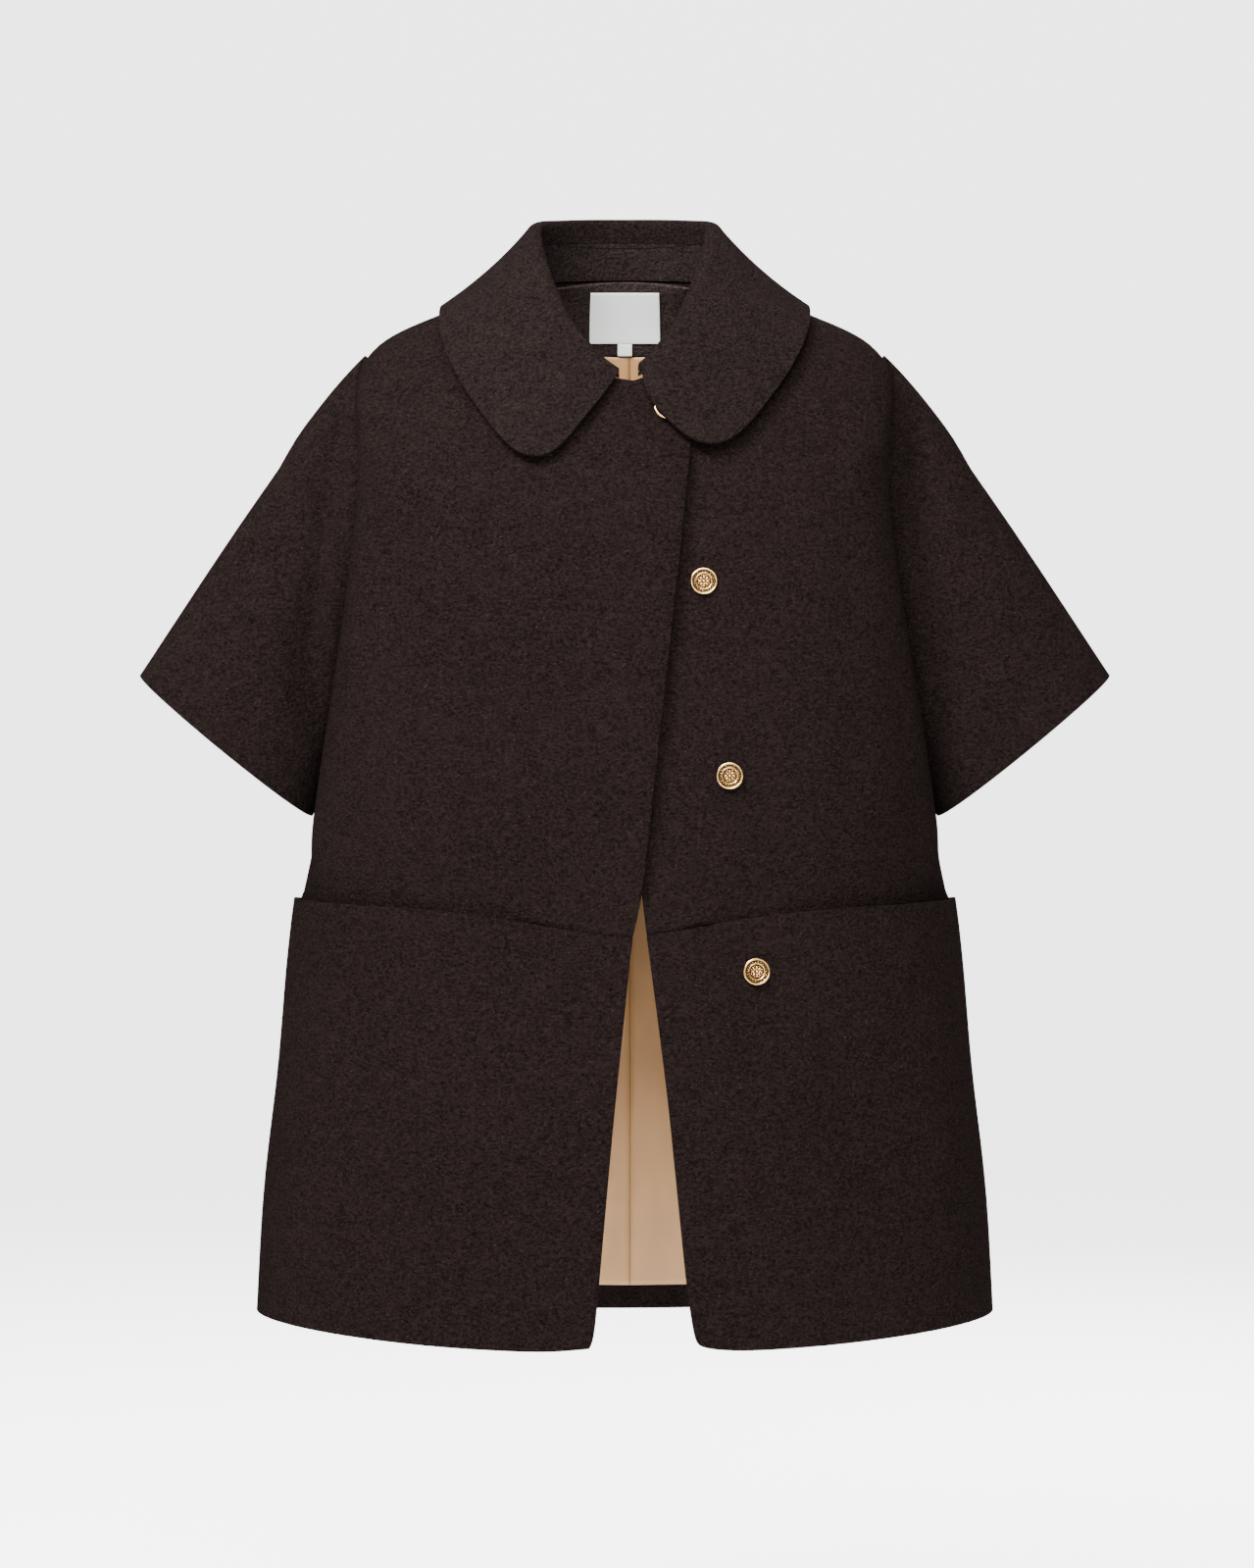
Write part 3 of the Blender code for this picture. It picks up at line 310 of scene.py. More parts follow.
def wool_material(name, **values):
    material, tree, shader = plain_material(name)
    node = place_group(tree, nap, **values)
    tree.links.new(node.outputs["Color"], shader.inputs["Base Color"])
    tree.links.new(node.outputs["Roughness"], shader.inputs["Roughness"])
    bumped(tree, shader, node.outputs["Height"], 2.2 * MM)
    shader.inputs["Specular IOR Level"].default_value = 0.0
    shader.inputs["Sheen Weight"].default_value = 0.004
    shader.inputs["Sheen Roughness"].default_value = 0.55
    shader.inputs["Sheen Tint"].default_value = (0.75, 0.62, 0.56, 1.0)
    return material


brown_wool = wool_material("brown_wool")
# the collar's copy of the same wool is a little lighter: painted light, where the leaves face the
# lamps
collar_wool_painted_light = wool_material("collar_wool_painted_light", Dark_Fibre=(0.0013, 0.0010, 0.0010, 1.0),
                                    Brown_Fibre=(0.0178, 0.0121, 0.0113, 1.0))
# the stand's and the facing's copies are lighter still: painted light inside the back neck, where
# little lamp light reaches
neck_wool_painted_light = wool_material("neck_wool_painted_light", Dark_Fibre=(0.0026, 0.0019, 0.0018, 1.0),
                          Brown_Fibre=(0.0250, 0.0176, 0.0166, 1.0))
facing_wool_painted_light = wool_material("facing_wool_painted_light", Dark_Fibre=(0.0050, 0.0037, 0.0035, 1.0),
                            Brown_Fibre=(0.0500, 0.0350, 0.0330, 1.0))
print("wool materials: 4")

# %% [markdown]
# Lining. Inside, the coat shows a tan satin. Satin is smooth and shiny along its floating
# threads, with very fine cross lines, and it lies in soft, uneven patches of light. A clean
# colour with a slight drift in soft patches, which is painted sheen, low roughness and an almost
# invisible weave bump give that.

# %% Satin lining material
satin, satin_in, satin_out = new_group(
    "satin_weave_and_painted_sheen",
    (("Deep", "NodeSocketColor", (0.340, 0.176, 0.070, 1.0)),
     ("Light", "NodeSocketColor", (0.480, 0.260, 0.108, 1.0)),),
    (("Color", "NodeSocketColor"), ("Height", "NodeSocketFloat"), ("Roughness", "NodeSocketFloat")))
coords = object_coords(satin)
threads = noise(satin, stretch(satin, coords, (1.0, 1.0, 0.12)), 2600.0, 1.0, 0.5)
rows = noise(satin, stretch(satin, coords, (0.1, 0.1, 1.0)), 1400.0, 1.0, 0.5)
patches = noise(satin, stretch(satin, coords, (1.0, 1.0, 0.45)), 26.0, 2.0, 0.5)
# the colour drifts between Deep and Light in soft patches: painted sheen for the satin's uneven
# patches of light, with a little weave tone from the threads
painted_sheen_and_weave = weighted_sum(satin, ((remap(satin, patches, 0.3, 0.7), 0.7), (threads, 0.3)))
satin.links.new(blend_colours(satin, painted_sheen_and_weave, satin_in.outputs["Deep"], satin_in.outputs["Light"]),
                satin_out.inputs["Color"])
satin_height = weighted_sum(satin, ((threads, 0.05), (rows, 0.05), (patches, 1.0)))
satin.links.new(satin_height, satin_out.inputs["Height"])
satin.links.new(remap(satin, patches, 0.3, 0.7, 0.38, 0.52), satin_out.inputs["Roughness"])

tan_satin, tree, shader = plain_material("tan_satin")
satin_node = place_group(tree, satin)
tree.links.new(satin_node.outputs["Color"], shader.inputs["Base Color"])
tree.links.new(satin_node.outputs["Roughness"], shader.inputs["Roughness"])
bumped(tree, shader, satin_node.outputs["Height"], 1.6 * MM)
shader.inputs["Specular IOR Level"].default_value = 0.45
print("satin lining material made")

# %% [markdown]
# Label, thread and gold. The neck label is a bare woven tape, white with a fine cross weave. The
# sewing thread is a dark brown twist. The buttons are gilt metal, and their low places have a
# dark, warm brown tarnish as a material of its own. A noise of a millimetre or two drifts
# through both. The studio's paper is here too.

# %% Label, thread, button and paper materials
white_tape, tree, shader = plain_material("white_tape")
coords = object_coords(tree)
tape_threads = noise(tree, stretch(tree, coords, (1.0, 1.0, 0.2)), 2400.0, 1.0, 0.5)
tree.links.new(blend_colours(tree, tape_threads, (0.80, 0.80, 0.79, 1.0), (0.93, 0.93, 0.92, 1.0)),
               shader.inputs["Base Color"])
bumped(tree, shader, tape_threads, 0.12 * MM)
shader.inputs["Roughness"].default_value = 0.7

brown_thread, tree, shader = plain_material("brown_thread")
coords = object_coords(tree)
twist = noise(tree, coords, 3200.0, 1.0, 0.5)
tree.links.new(blend_colours(tree, twist, (0.0035, 0.0022, 0.0020, 1.0), (0.009, 0.0056, 0.0050, 1.0)),
               shader.inputs["Base Color"])
bumped(tree, shader, twist, 0.1 * MM)
shader.inputs["Roughness"].default_value = 0.9
shader.inputs["Specular IOR Level"].default_value = 0.03

tarnished, tree, shader = plain_material("tarnished_button_ground")
coords = object_coords(tree)
patina = remap(tree, noise(tree, coords, 900.0, 3.0, 0.6), 0.35, 0.65)
tree.links.new(blend_colours(tree, patina, (0.012, 0.006, 0.003, 1.0), (0.060, 0.030, 0.010, 1.0)),
               shader.inputs["Base Color"])
tree.links.new(remap(tree, patina, 0.0, 1.0, 0.55, 0.40), shader.inputs["Roughness"])
shader.inputs["Metallic"].default_value = 1.0

gilt, tree, shader = plain_material("gilt_button_metal")
coords = object_coords(tree)
tarnish = remap(tree, noise(tree, coords, 420.0, 3.0, 0.55), 0.35, 0.65)
tree.links.new(blend_colours(tree, tarnish, (0.86, 0.56, 0.22, 1.0), (0.62, 0.37, 0.12, 1.0)),
               shader.inputs["Base Color"])
tree.links.new(remap(tree, tarnish, 0.0, 1.0, 0.11, 0.19), shader.inputs["Roughness"])
bumped(tree, shader, noise(tree, coords, 2600.0, 2.0, 0.5), 0.05 * MM)
shader.inputs["Metallic"].default_value = 1.0

paper_white, tree, shader = plain_material("studio_paper")
coords = object_coords(tree)
tree.links.new(blend_colours(tree, noise(tree, coords, 40.0, 2.0, 0.5), (0.90, 0.90, 0.90, 1.0),
                             (0.91, 0.91, 0.91, 1.0)), shader.inputs["Base Color"])
shader.inputs["Roughness"].default_value = 0.95
shader.inputs["Specular IOR Level"].default_value = 0.0
seen = add_node(tree, "ShaderNodeLightPath").outputs["Is Camera Ray"]
tree.links.new(blend_colours(tree, seen, (0.0, 0.0, 0.0, 1.0), (1.0, 1.0, 1.0, 1.0)),
               shader.inputs["Emission Color"])
shader.inputs["Emission Strength"].default_value = PAPER_GLOW
paper.data.materials.append(paper_white)
print("label, thread, gilt and paper materials made")

# %% [markdown]
# From a packed panel to soft cloth. Each packed panel is a closed wall of the cloth's real
# thickness, but with few faces. A copy of it is merged, its triangles are joined to quads, the
# sharp edges of its rim are creased, and Subdivision Surface rounds everything between
# them. So the cloth keeps the panel's exact place and thickness. A small bevel then rounds the
# turned edges, as thick wool does when it is folded over and pressed. Edges that are sewn to
# a neighbour stay square and are drawn up against it, so that no slit shows in the seam.

# %% Helpers: points in and out
def points_of(piece):
    places = np.empty(len(piece.data.vertices) * 3)
    piece.data.vertices.foreach_get("co", places)
    return places.reshape(-1, 3)


def move_points(piece, places):
    piece.data.vertices.foreach_set("co", places.ravel())
    piece.data.update()


def soft_step(value, low, high):
    share = np.clip((value - low) / (high - low), 0.0, 1.0)
    return share * share * (3.0 - 2.0 * share)


# %% Helpers: which edges are free and which are sewn
SEAM_REACH = 2.2 * MM          # an edge this close to its neighbour is sewn to it
ARMHOLE_REACH = 5.0 * MM       # the same at the armholes, where panels meet at an angle
SEAM_OVERLAP = 0.25 * MM       # how far a closed seam runs into its neighbour
FULL_PULL = 0.45               # share of the reach within which a point is drawn all the way
EDGE_ANGLE = math.radians(55.0)
search_trees = {}
for name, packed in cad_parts.items():
    corners = [corner.co.copy() for corner in packed.data.vertices]
    faces = [tuple(face.vertices) for face in packed.data.polygons]
    search_trees[name] = BVHTree.FromPolygons(corners, faces)


def nearest_on(neighbours, place):
    """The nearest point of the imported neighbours, and how far away it is."""
    best = (None, 1.0)
    for name in neighbours:
        spot, _, _, gap = search_trees[name].find_nearest(place)
        if spot is not None and gap < best[1]:
            best = (spot, gap)
    return best


def weigh_edges(piece, sewn_to):
    """Sharp edges get the whole bevel where they are free and none where they are sewn."""
    mesh = piece.data
    shape = bmesh.new()
    shape.from_mesh(mesh)
    weights = np.zeros(len(mesh.edges))
    for edge in shape.edges:
        if len(edge.link_faces) == 2 and edge.calc_face_angle() > EDGE_ANGLE:
            middle = 0.5 * (edge.verts[0].co + edge.verts[1].co)
            sewn = sewn_to and nearest_on(sewn_to, middle)[1] < SEAM_REACH
            weights[edge.index] = 0.0 if sewn else 1.0
    shape.free()
    mesh.attributes.new("bevel_weight_edge", "FLOAT", "EDGE").data.foreach_set("value", weights)


def close_seam(piece, sewn_to, reach):
    """Cloth that nearly touches the piece it is sewn to is drawn up against it."""
    places = points_of(piece)
    near = np.zeros(len(places), dtype=bool)
    for name in sewn_to:
        other = points_of(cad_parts[name])
        low, high = other.min(axis=0) - reach, other.max(axis=0) + reach
        near |= np.all((places > low) & (places < high), axis=1)
    for k in np.nonzero(near)[0]:
        spot, gap = nearest_on(sewn_to, Vector(places[k]))
        if 0.0 < gap < reach:
            pull = 1.0 - float(soft_step(gap, FULL_PULL * reach, reach))
            toward = (np.array(spot) - places[k]) / gap
            places[k] += toward * pull * (gap + SEAM_OVERLAP)
    move_points(piece, places)


# %% Helpers: fine cloth from a panel
MERGE_REACH = 0.01 * MM
FLAT_ANGLE = math.radians(30.0)       # triangles that make one quad are this flat
QUAD_SHAPE = math.radians(120.0)
CREASE_ANGLE = math.radians(48.0)     # sharper edges stay sharp when the cloth is smoothed
SHADE_ANGLE = math.radians(60.0)
WOOL_EDGE = 1.25 * MM                 # how wide turned edges are rounded


def fine_cloth(node_name, levels, edge_round, sewn_to=(), reach=SEAM_REACH):
    deselect()
    piece = bpy.data.objects.new(node_name + "_cloth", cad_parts[node_name].data.copy())
    bpy.context.scene.collection.objects.link(piece)
    piece.data.materials.clear()
    make_active(piece)
    bpy.ops.object.mode_set(mode="EDIT")
    bpy.ops.mesh.select_mode(type="EDGE")
    bpy.ops.mesh.select_all(action="SELECT")
    bpy.ops.mesh.remove_doubles(threshold=MERGE_REACH)
    bpy.ops.mesh.tris_convert_to_quads(face_threshold=FLAT_ANGLE, shape_threshold=QUAD_SHAPE)
    bpy.ops.mesh.select_all(action="DESELECT")
    bpy.ops.mesh.edges_select_sharp(sharpness=CREASE_ANGLE)
    bpy.ops.transform.edge_crease(value=1.0)
    bpy.ops.object.mode_set(mode="OBJECT")
    smoothing = piece.modifiers.new("smooth_cloth", "SUBSURF")
    smoothing.levels = levels
    smoothing.render_levels = levels
    bpy.ops.object.modifier_apply(modifier=smoothing.name)
    if edge_round:
        weigh_edges(piece, sewn_to)
        rounding = piece.modifiers.new("turned_edge", "BEVEL")
        rounding.limit_method = "WEIGHT"
        rounding.width = edge_round
        rounding.segments = 3
        bpy.ops.object.modifier_apply(modifier=rounding.name)
    if sewn_to:
        close_seam(piece, sewn_to, reach)
    bpy.ops.object.shade_smooth_by_angle(angle=SHADE_ANGLE)
    return piece


# %% [markdown]
# Soft creases. Heavy wool falls in a few broad, shallow troughs rather than sharp folds. They are
# placed as short lines across the coat, each with a width and a depth. Every wool
# part is moved by the same field, so seams stay closed and what lies on the cloth goes along.

# %% Crease field of the body
def crease_height(across, up, creases):
    """Depth of all creases at each place: a soft trough along a short line, dying out at its ends."""
    total = np.zeros(len(across))
    for x1, z1, x2, z2, width, depth in creases:
        start = np.array((x1, z1)) * MM
        line = np.array((x2, z2)) * MM - start
        share = ((across - start[0]) * line[0] + (up - start[1]) * line[1]) / (line @ line)
        away = np.hypot(across - start[0] - share * line[0], up - start[1] - share * line[1])
        along = soft_step(share, -0.12, 0.22) * (1.0 - soft_step(share, 0.70, 1.12))
        total += depth * MM * along * np.exp(-(away / (width * MM)) ** 2)
    return total


# from (x, z) to (x, z), width, depth; a minus is a trough, a plus a ridge, all in mm
FRONT_CREASES = (
    (-196, -85, -205, -330, 12, 2.6), (60, -132, 20, -500, 8, -3.6),
    (-150, -100, -186, -330, 20, -3.4), (-192, -330, -214, -470, 18, -2.2),
    (-128, -130, -160, -420, 26, 2.0), (-92, -160, -118, -480, 30, -1.3),
    (-60, -175, -20, -360, 26, -1.2), (-66, -260, -96, -470, 24, 1.3),
    (150, -110, 184, -300, 16, -1.8), (196, -150, 222, -470, 10, -2.0),
    (120, -150, 150, -430, 28, 1.6), (86, -280, 110, -480, 24, -1.2),
    (-232, -520, -250, -790, 22, 2.0), (-180, -560, -196, -810, 26, -2.0),
    (-120, -540, -132, -810, 30, 1.6), (-66, -600, -64, -815, 24, -1.3),
    (232, -520, 250, -790, 20, 1.8), (176, -550, 190, -810, 26, -2.0),
    (118, -600, 130, -812, 28, 1.5), (70, -620, 74, -812, 18, -1.0),
)
BACK_CREASES = (
    (-150, -110, -130, -420, 22, -2.6), (150, -120, 128, -430, 22, -2.4),
    (-60, -180, -96, -700, 30, 2.2), (40, -260, 66, -760, 30, -2.4),
    (-190, -300, -214, -780, 22, 2.0), (190, -320, 220, -790, 22, -2.0),
    (0, -420, -14, -800, 24, 2.0), (110, -480, 140, -800, 24, 2.0),
)


BODY_HALF_WIDTH, BODY_HALF_DEPTH, BODY_MIDDLE = 0.25, 0.13, 0.01


def out_of_body(x, y):
    """Level directions out of the body, as if it were an oval in plan."""
    across, deep = x / BODY_HALF_WIDTH**2, (y - BODY_MIDDLE) / BODY_HALF_DEPTH**2
    away = np.stack((across, deep, np.zeros(len(x))), axis=1)
    return away / np.linalg.norm(away, axis=1, keepdims=True)


def drape_body(places):
    x, y, z = places.T
    in_front = 1.0 - soft_step(y, -0.035, 0.005)
    behind = soft_step(y, 0.015, 0.055)
    height = in_front * crease_height(x, z, FRONT_CREASES)
    height += behind * crease_height(x, z, BACK_CREASES)
    return places + out_of_body(x, y) * height[:, None]


print("creases placed by hand:", len(FRONT_CREASES) + len(BACK_CREASES))

# %% [markdown]
# The coat's body. The two fronts, the two lower fronts with their pocket bags and the wide back
# are sewn first in a real coat.

# %% Body panels
def dress(piece, node, material):
    piece.data.materials.append(material)
    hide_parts(node)
    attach(piece, "root")


# node: cut width and length, cut area, smoothing levels, what it rests on
BODY_PANELS = {
    "front_right": ((0.335, 0.540), 0.150, 2, ("back",)),
    "front_left": ((0.310, 0.530), 0.139, 2, ("back",)),
    "lower_front_right": ((0.360, 0.345), 0.113, 3, ("front_right",)),
    "lower_front_left": ((0.335, 0.345), 0.105, 3, ("front_left",)),
    "pocket_bag_right": ((0.245, 0.235), 0.050, 1, ("front_right",)),
    "pocket_bag_left": ((0.230, 0.235), 0.0465, 1, ("front_left",)),
    "back": ((0.700, 0.850), 0.471, 2, ("front_right", "front_left")),
}
# node: what its edges are sewn to
SEAMS = {
    "front_right": ("sleeve_right", "back", "lower_front_right"),
    "front_left": ("sleeve_left", "back", "lower_front_left"),
    "back": ("sleeve_right", "sleeve_left", "front_right", "front_left"),
    "sleeve_right": ("front_right", "back"), "sleeve_left": ("front_left", "back"),
    "lower_front_right": ("back",), "lower_front_left": ("back",),
    "neck_facing": ("collar_stand",),
}
cloth = {}
for node, (_, _, levels, _) in BODY_PANELS.items():
    sewn_to = SEAMS.get(node, ())
    cloth[node] = fine_cloth(node, levels, WOOL_EDGE, sewn_to)
    close_seam(cloth[node], [name for name in sewn_to if "sleeve" in name], ARMHOLE_REACH)
    move_points(cloth[node], drape_body(points_of(cloth[node])))
for node, (flat, area, _, rests_on) in BODY_PANELS.items():
    dress(cloth[node], node, brown_wool)
    print(node, "faces:", len(cloth[node].data.polygons))

# %% [markdown]
# The sleeves. Each is one wide tube that leaves the shoulder and widens to the elbow. A deep
# trough runs down beside the armhole. A shallow one and a ridge rise from the underarm, and one
# more trough runs toward the cuff. At the armhole this field gives way to the body's, so the
# sleeve moves with the body there and the seam stays closed.

# %% Sleeves
SLEEVE_CREASES = (
    (219, -95, 248, -350, 12, -7.0), (222, -380, 268, -200, 16, -3.0),
    (238, -400, 316, -262, 18, 2.2), (262, -190, 338, -300, 20, -2.0),
)
SLEEVE_MIDDLE = 0.012
ARMHOLE_LEAN = 0.10            # the armhole line leans in as it goes down
ARMHOLE_TOP = -0.15


def drape_sleeve(places):
    x, y, z = places.T
    side = np.abs(x)
    away = np.stack((np.zeros(len(x)), np.sign(y - SLEEVE_MIDDLE), np.zeros(len(x))), axis=1)
    deep = soft_step(np.abs(y - SLEEVE_MIDDLE), 0.004, 0.030)
    seam_fade = soft_step(side + ARMHOLE_LEAN * (z - ARMHOLE_TOP), 0.205, 0.222)
    height = crease_height(side, z, SLEEVE_CREASES) * deep * seam_fade
    with_body = drape_body(places) - places
    return places + away * height[:, None] + with_body * (1.0 - seam_fade)[:, None]


for side in ("right", "left"):
    node = "sleeve_" + side
    cloth[node] = fine_cloth(node, 2, WOOL_EDGE, SEAMS[node], ARMHOLE_REACH)
    move_points(cloth[node], drape_sleeve(points_of(cloth[node])))
    dress(cloth[node], node, brown_wool)
    print(node, "faces:", len(cloth[node].data.polygons))

# %% [markdown]
# The collar. A stand holds it up round the neck, and the fall rolls over and lies down in two
# rounded leaves. Its cloth is painted a little lighter than the body, painted light where it faces
# the lamps. Inside the back neck lie a wool facing, the bare label and its small tab. The stand and
# the facing are painted lighter still, painted light inside the neck where little lamp light reaches.

# %% Collar, stand, facing, label
# node: edge rounding in mm, material, slot, cut width and length, cut area, what it rests on
COLLAR_PIECES = {
    "collar_stand": (0.6, neck_wool_painted_light, "wool", (0.390, 0.030), 0.0109, "back"),
    "collar": (1.6, collar_wool_painted_light, "wool", (0.640, 0.130), 0.0739, "collar_stand"),
    "neck_facing": (0.4, facing_wool_painted_light, "wool", (0.390, 0.055), 0.020, "back"),
    "label": (0.25, white_tape, "label", (0.060, 0.045), 0.0026, "neck_facing"),
    "size_tab": (0.2, white_tape, "label", (0.0118, 0.0112), 0.00012, "neck_facing"),
}
FACING_RISE = 2.0 * MM
FACING_RISE_BAND = 5.0 * MM
for node, (edge_round, *_) in COLLAR_PIECES.items():
    cloth[node] = fine_cloth(node, 2, edge_round * MM, SEAMS.get(node, ()))
for node in ("neck_facing", "label", "size_tab"):
    move_points(cloth[node], drape_body(points_of(cloth[node])))
# the top edge of the facing is drawn up under the foot of the stand
facing_points = points_of(cloth["neck_facing"])
facing_top = facing_points[:, 2].max()
rise = soft_step(facing_points[:, 2], facing_top - FACING_RISE_BAND, facing_top)
facing_points[:, 2] += FACING_RISE * rise
move_points(cloth["neck_facing"], facing_points)
for node, (_, material, slot_name, flat, area, rests_on) in COLLAR_PIECES.items():
    dress(cloth[node], node, material)
print("collar faces:", len(cloth["collar"].data.polygons))

# %% [markdown]
# The lining. It hangs inside the back in two halves, joined by a seam just beside the middle.
# Satin drawn up by a seam puckers: short dimples on both sides of it, a few millimetres apart.
# The lining may only move inward, away from the wool behind it.

# %% Lining
LINING_SEAM = 4.0 * MM         # how far the seam lies from the middle
PUCKER_DEPTH = 1.1 * MM
PUCKER_REACH = 9.0 * MM
PUCKER_STEP = 7.5 * MM
LINING_CREASES = (
    (-24, -560, -30, -800, 12, 2.0), (34, -500, 44, -800, 14, 2.6),
    (-70, -300, -90, -790, 22, 3.0), (96, -280, 110, -790, 20, 3.0),
    (150, -360, 170, -790, 20, 2.6), (-140, -380, -160, -790, 20, 2.6),
)


def drape_lining(places):
    x, y, z = places.T
    pull = np.exp(-np.abs(x - LINING_SEAM) / PUCKER_REACH)
    beat = 0.5 + 0.5 * np.sin(z / PUCKER_STEP * 2.0 * math.pi + 2.0 * np.sin(z * 61.0))
    strength = 0.55 + 0.45 * np.sin(z * 23.0 + 1.0)
    pucker = PUCKER_DEPTH * pull * beat * strength * soft_step(-z, 0.06, 0.09)
    height = crease_height(x, z, LINING_CREASES) + pucker
    height *= 1.0 - soft_step(-z, 0.790, 0.800) * 0.6
    return drape_body(places) - out_of_body(x, y) * height[:, None]


for side in ("right", "left"):
    node = "lining_" + side
    cloth[node] = fine_cloth(node, 4, 0.0)
    move_points(cloth[node], drape_lining(points_of(cloth[node])))
    dress(cloth[node], node, tan_satin)
    print(node, "faces:", len(cloth[node].data.polygons))

# %% [markdown]
# Stitches. Two rows of thread hold the stand and the fall together, and they show inside the
# back neck. One stitch is modelled, and copies of it are laid along each row, where a line
# from the middle of the neck meets the wool.

# %% Stitch rows inside the collar
STITCH_RADIUS = 0.34 * MM
STITCH_LENGTH = 2.6 * MM
STITCH_EDGE = 0.12 * MM
STITCH_LIFT = 0.12 * MM        # how far a stitch's middle lies off the wool
STITCH_ROWS = (("collar_stand", 25.5 * MM), ("collar", 33.5 * MM))      # node and height
STITCH_TURNS = range(8, 173, 3)                                         # degrees, behind the neck
deselect()
bpy.ops.mesh.primitive_cylinder_add(vertices=6, radius=STITCH_RADIUS, depth=STITCH_LENGTH)
stitch = bpy.context.active_object
bpy.ops.object.mode_set(mode="EDIT")
bpy.ops.mesh.select_all(action="SELECT")
bpy.ops.mesh.bevel(offset=STITCH_EDGE, segments=1, affect="EDGES")
bpy.ops.object.mode_set(mode="OBJECT")
stitches = []
for node, height in STITCH_ROWS:
    spots = []
    for turn in STITCH_TURNS:
        ray = Vector((math.cos(math.radians(turn)), math.sin(math.radians(turn)), 0.0))
        hit, spot, normal, _ = cloth[node].ray_cast(Vector((0.0, 0.0, height)), ray)
        if hit:
            spots.append((spot, normal))
    for (spot, normal), (next_spot, _) in zip(spots, spots[1:]):
        copy = bpy.data.objects.new("stitch_copy", stitch.data.copy())
        bpy.context.scene.collection.objects.link(copy)
        middle = spot.lerp(next_spot, 0.5) + normal * STITCH_LIFT
        turned = (next_spot - spot).to_track_quat("Z", "X").to_matrix().to_4x4()
        copy.data.transform(Matrix.Translation(middle) @ turned)
        stitches.append(copy)
bpy.data.objects.remove(stitch)
join_to(stitches[0], stitches)
stitch_rows = bpy.context.active_object
stitch_rows.name = "collar_stitches"
stitch_rows.data.materials.append(brown_thread)
bpy.ops.object.shade_smooth()
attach(stitch_rows, "root")
print("stitches:", len(stitches))

# %% [markdown]
# Buttons. Each is a gilt disc with a rounded raised rim, a sunken ring with a row of small beads,
# and a low rosette in the middle, a common pattern on such buttons. One button is modelled from
# a cylinder by insetting its top face again and again, up and down, and it gets its beads and
# petals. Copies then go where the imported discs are, turned the way that those face.

# %% One button
BUTTON_RADIUS = 10.15 * MM
DISC_DEPTH = 2.0 * MM
DISC_MIDDLE = 2.2 * MM                     # height over the cloth side of the shank
BUTTON_EDGE = 0.14 * MM
METAL_SHADE_ANGLE = math.radians(50.0)
RING_INNER, RING_OUTER = 6.2 * MM, 8.45 * MM
ROSETTE_EDGE = 5.35 * MM
GROUND_TOP = 3.2 * MM                      # lower faces of ring and middle are tarnished
# inset width, then how far the inset face rises, in mm
FACE_STEPS = ((0.35, 0.45), (0.55, 0.15), (0.55, -0.15), (0.30, -0.85), (1.75, 0.0), (0.30, 0.45),
              (0.35, 0.0), (0.25, -0.35), (3.4, 0.25))
SHANK_STEPS = ((0.5, 0.2), (6.6, 0.1), (0.2, 0.75))
deselect()
bpy.ops.mesh.primitive_cylinder_add(vertices=72, radius=BUTTON_RADIUS, depth=DISC_DEPTH,
                                    location=(0.0, 0.0, DISC_MIDDLE))
disc = bpy.context.active_object
bpy.ops.object.transform_apply(location=True, rotation=True, scale=True)
bpy.ops.object.mode_set(mode="EDIT")
bpy.ops.mesh.select_mode(type="FACE")
for up, steps in ((1.0, FACE_STEPS), (-1.0, SHANK_STEPS)):
    bpy.ops.mesh.select_all(action="DESELECT")
    bpy.ops.object.mode_set(mode="OBJECT")
    for face in disc.data.polygons:
        face.select = up * face.normal.z > 0.9
    bpy.ops.object.mode_set(mode="EDIT")
    for width, rise in steps:
        bpy.ops.mesh.inset(thickness=width * MM, depth=rise * MM)
bpy.ops.object.mode_set(mode="OBJECT")
rounding = disc.modifiers.new("soft_metal_edges", "BEVEL")
rounding.limit_method = "ANGLE"
rounding.angle_limit = math.radians(25.0)
rounding.width = BUTTON_EDGE
rounding.segments = 2
bpy.ops.object.modifier_apply(modifier=rounding.name)
bpy.ops.object.shade_smooth_by_angle(angle=METAL_SHADE_ANGLE)
disc.data.materials.append(gilt)
disc.data.materials.append(tarnished)
for face in disc.data.polygons:
    reach = face.center.xy.length
    in_ring = RING_INNER < reach < RING_OUTER
    in_middle = reach < ROSETTE_EDGE
    if face.normal.z > 0.5 and (in_ring or in_middle) and face.center.z < GROUND_TOP:
        face.material_index = 1
print("button disc faces:", len(disc.data.polygons))

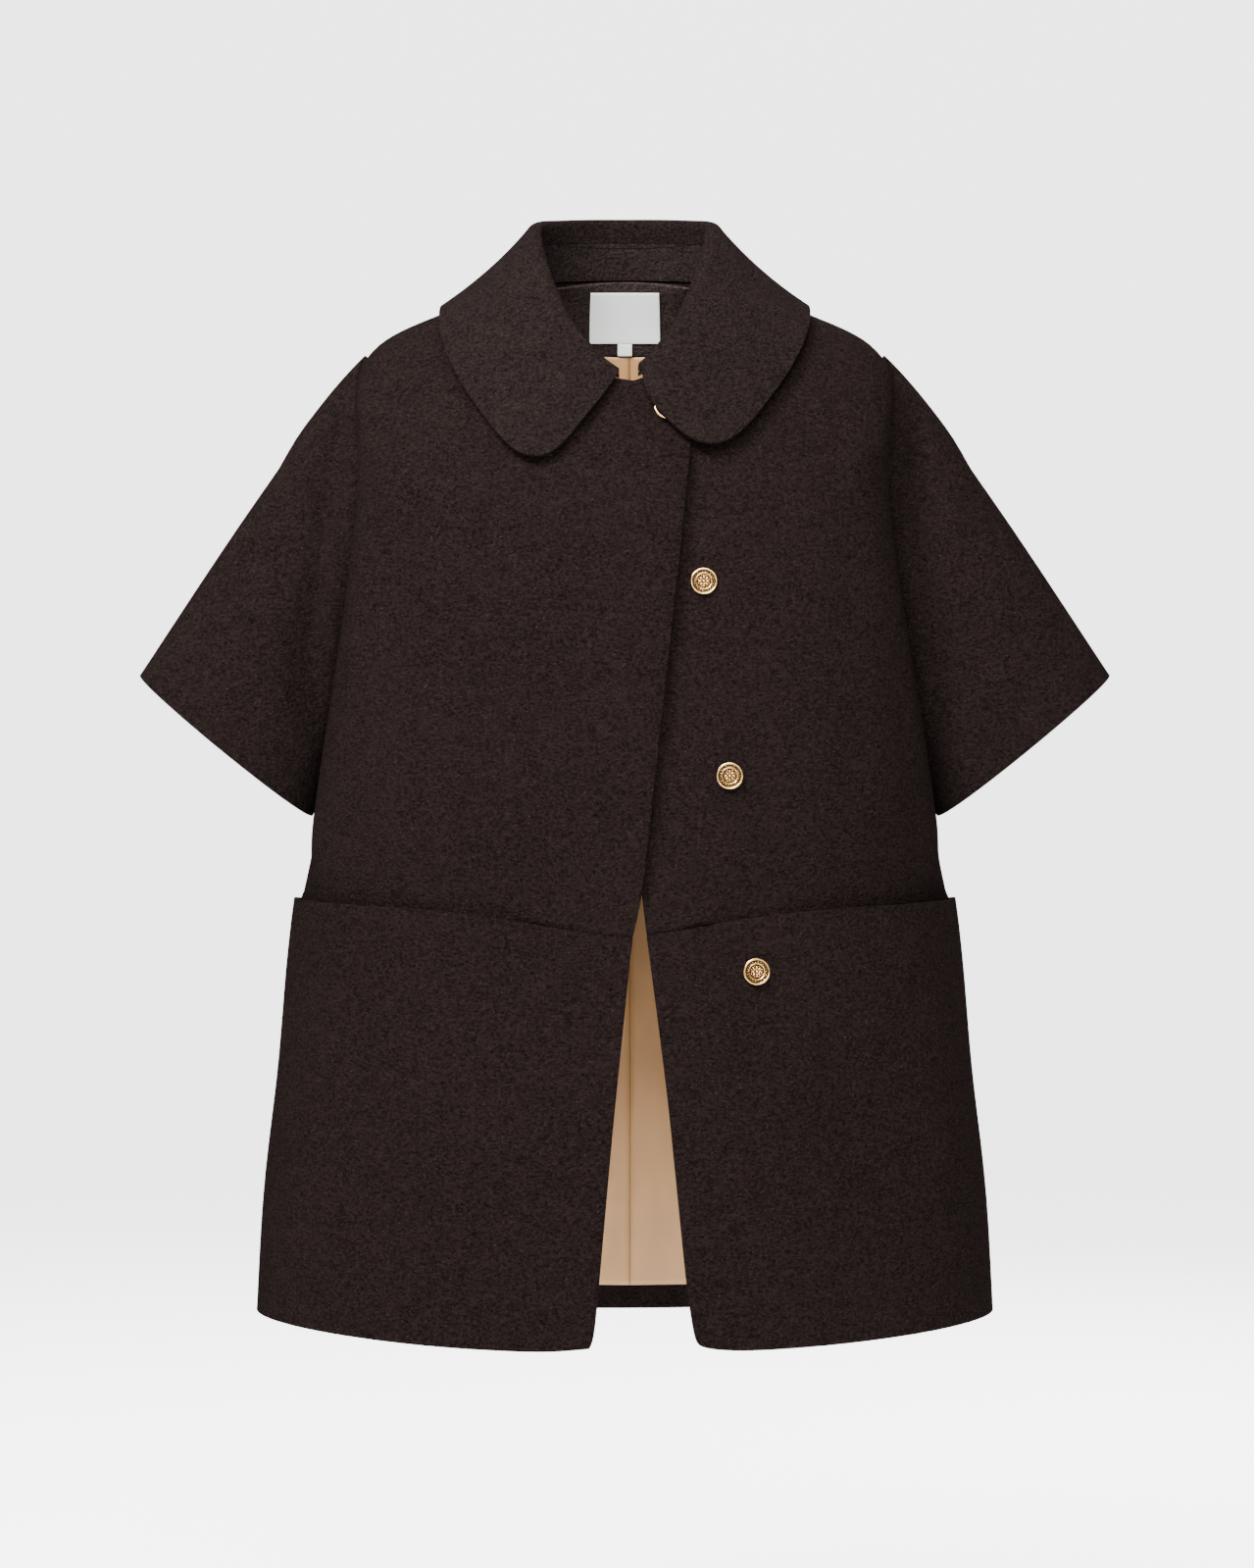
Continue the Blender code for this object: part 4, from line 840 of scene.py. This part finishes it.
# %% Beads and rosette
def bead(length, width, height, reach, turn, rise):
    bpy.ops.mesh.primitive_uv_sphere_add(segments=10, ring_count=6, radius=1.0)
    item = bpy.context.active_object
    item.data.transform(Matrix.Diagonal((length, width, height, 1.0)))
    item.data.transform(Matrix.Rotation(turn, 4, "Z") @ Matrix.Translation((reach, 0.0, rise)))
    item.data.materials.append(gilt)
    return item


RING_FLOOR = 2.85 * MM
# how many, half length, half width, half height, distance out and rise in mm, shift in steps
RELIEF = (
    (22, 0.38, 0.38, 0.38, 7.25, 0.0, 0.0),      # beads
    (8, 1.45, 0.72, 0.55, 2.9, 0.30, 0.0),       # petals
    (8, 0.55, 0.42, 0.42, 4.25, 0.22, 0.5),      # buds between the petals
    (1, 1.05, 1.05, 0.75, 0.0, 0.45, 0.0),       # middle
)
relief = []
deselect()
for count, length, width, height, out, rise, shift in RELIEF:
    for k in range(count):
        turn = (k + shift) * 2.0 * math.pi / count
        relief.append(bead(length * MM, width * MM, height * MM, out * MM, turn,
                           RING_FLOOR + rise * MM))
join_to(disc, relief)
bpy.ops.object.shade_smooth_by_angle(angle=METAL_SHADE_ANGLE)
print("button faces with relief:", len(disc.data.polygons))

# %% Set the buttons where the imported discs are
for number in range(1, 5):
    node = "button_%d" % number
    rim = points_of(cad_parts[node])
    low = rim.min(axis=0)
    middle = 0.5 * (low + rim.max(axis=0))
    _, _, directions = np.linalg.svd(rim - rim.mean(axis=0), full_matrices=False)
    facing = directions[2] * (-1.0 if directions[2][1] > 0.0 else 1.0)
    heights = rim @ facing
    base = middle + facing * (heights.min() - middle @ facing)
    button = bpy.data.objects.new("gilt_" + node, disc.data.copy())
    bpy.context.scene.collection.objects.link(button)
    turned = Vector(facing).to_track_quat("Z", "Y").to_matrix().to_4x4()
    button.data.transform(Matrix.Translation(base) @ turned)
    shift = drape_body(points_of(button).mean(axis=0)[None])[0] - points_of(button).mean(axis=0)
    button.data.transform(Matrix.Translation(shift))
    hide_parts(node)
    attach(button, "root")
    print(node, "faces", [round(float(c), 3) for c in facing])
bpy.data.objects.remove(disc)
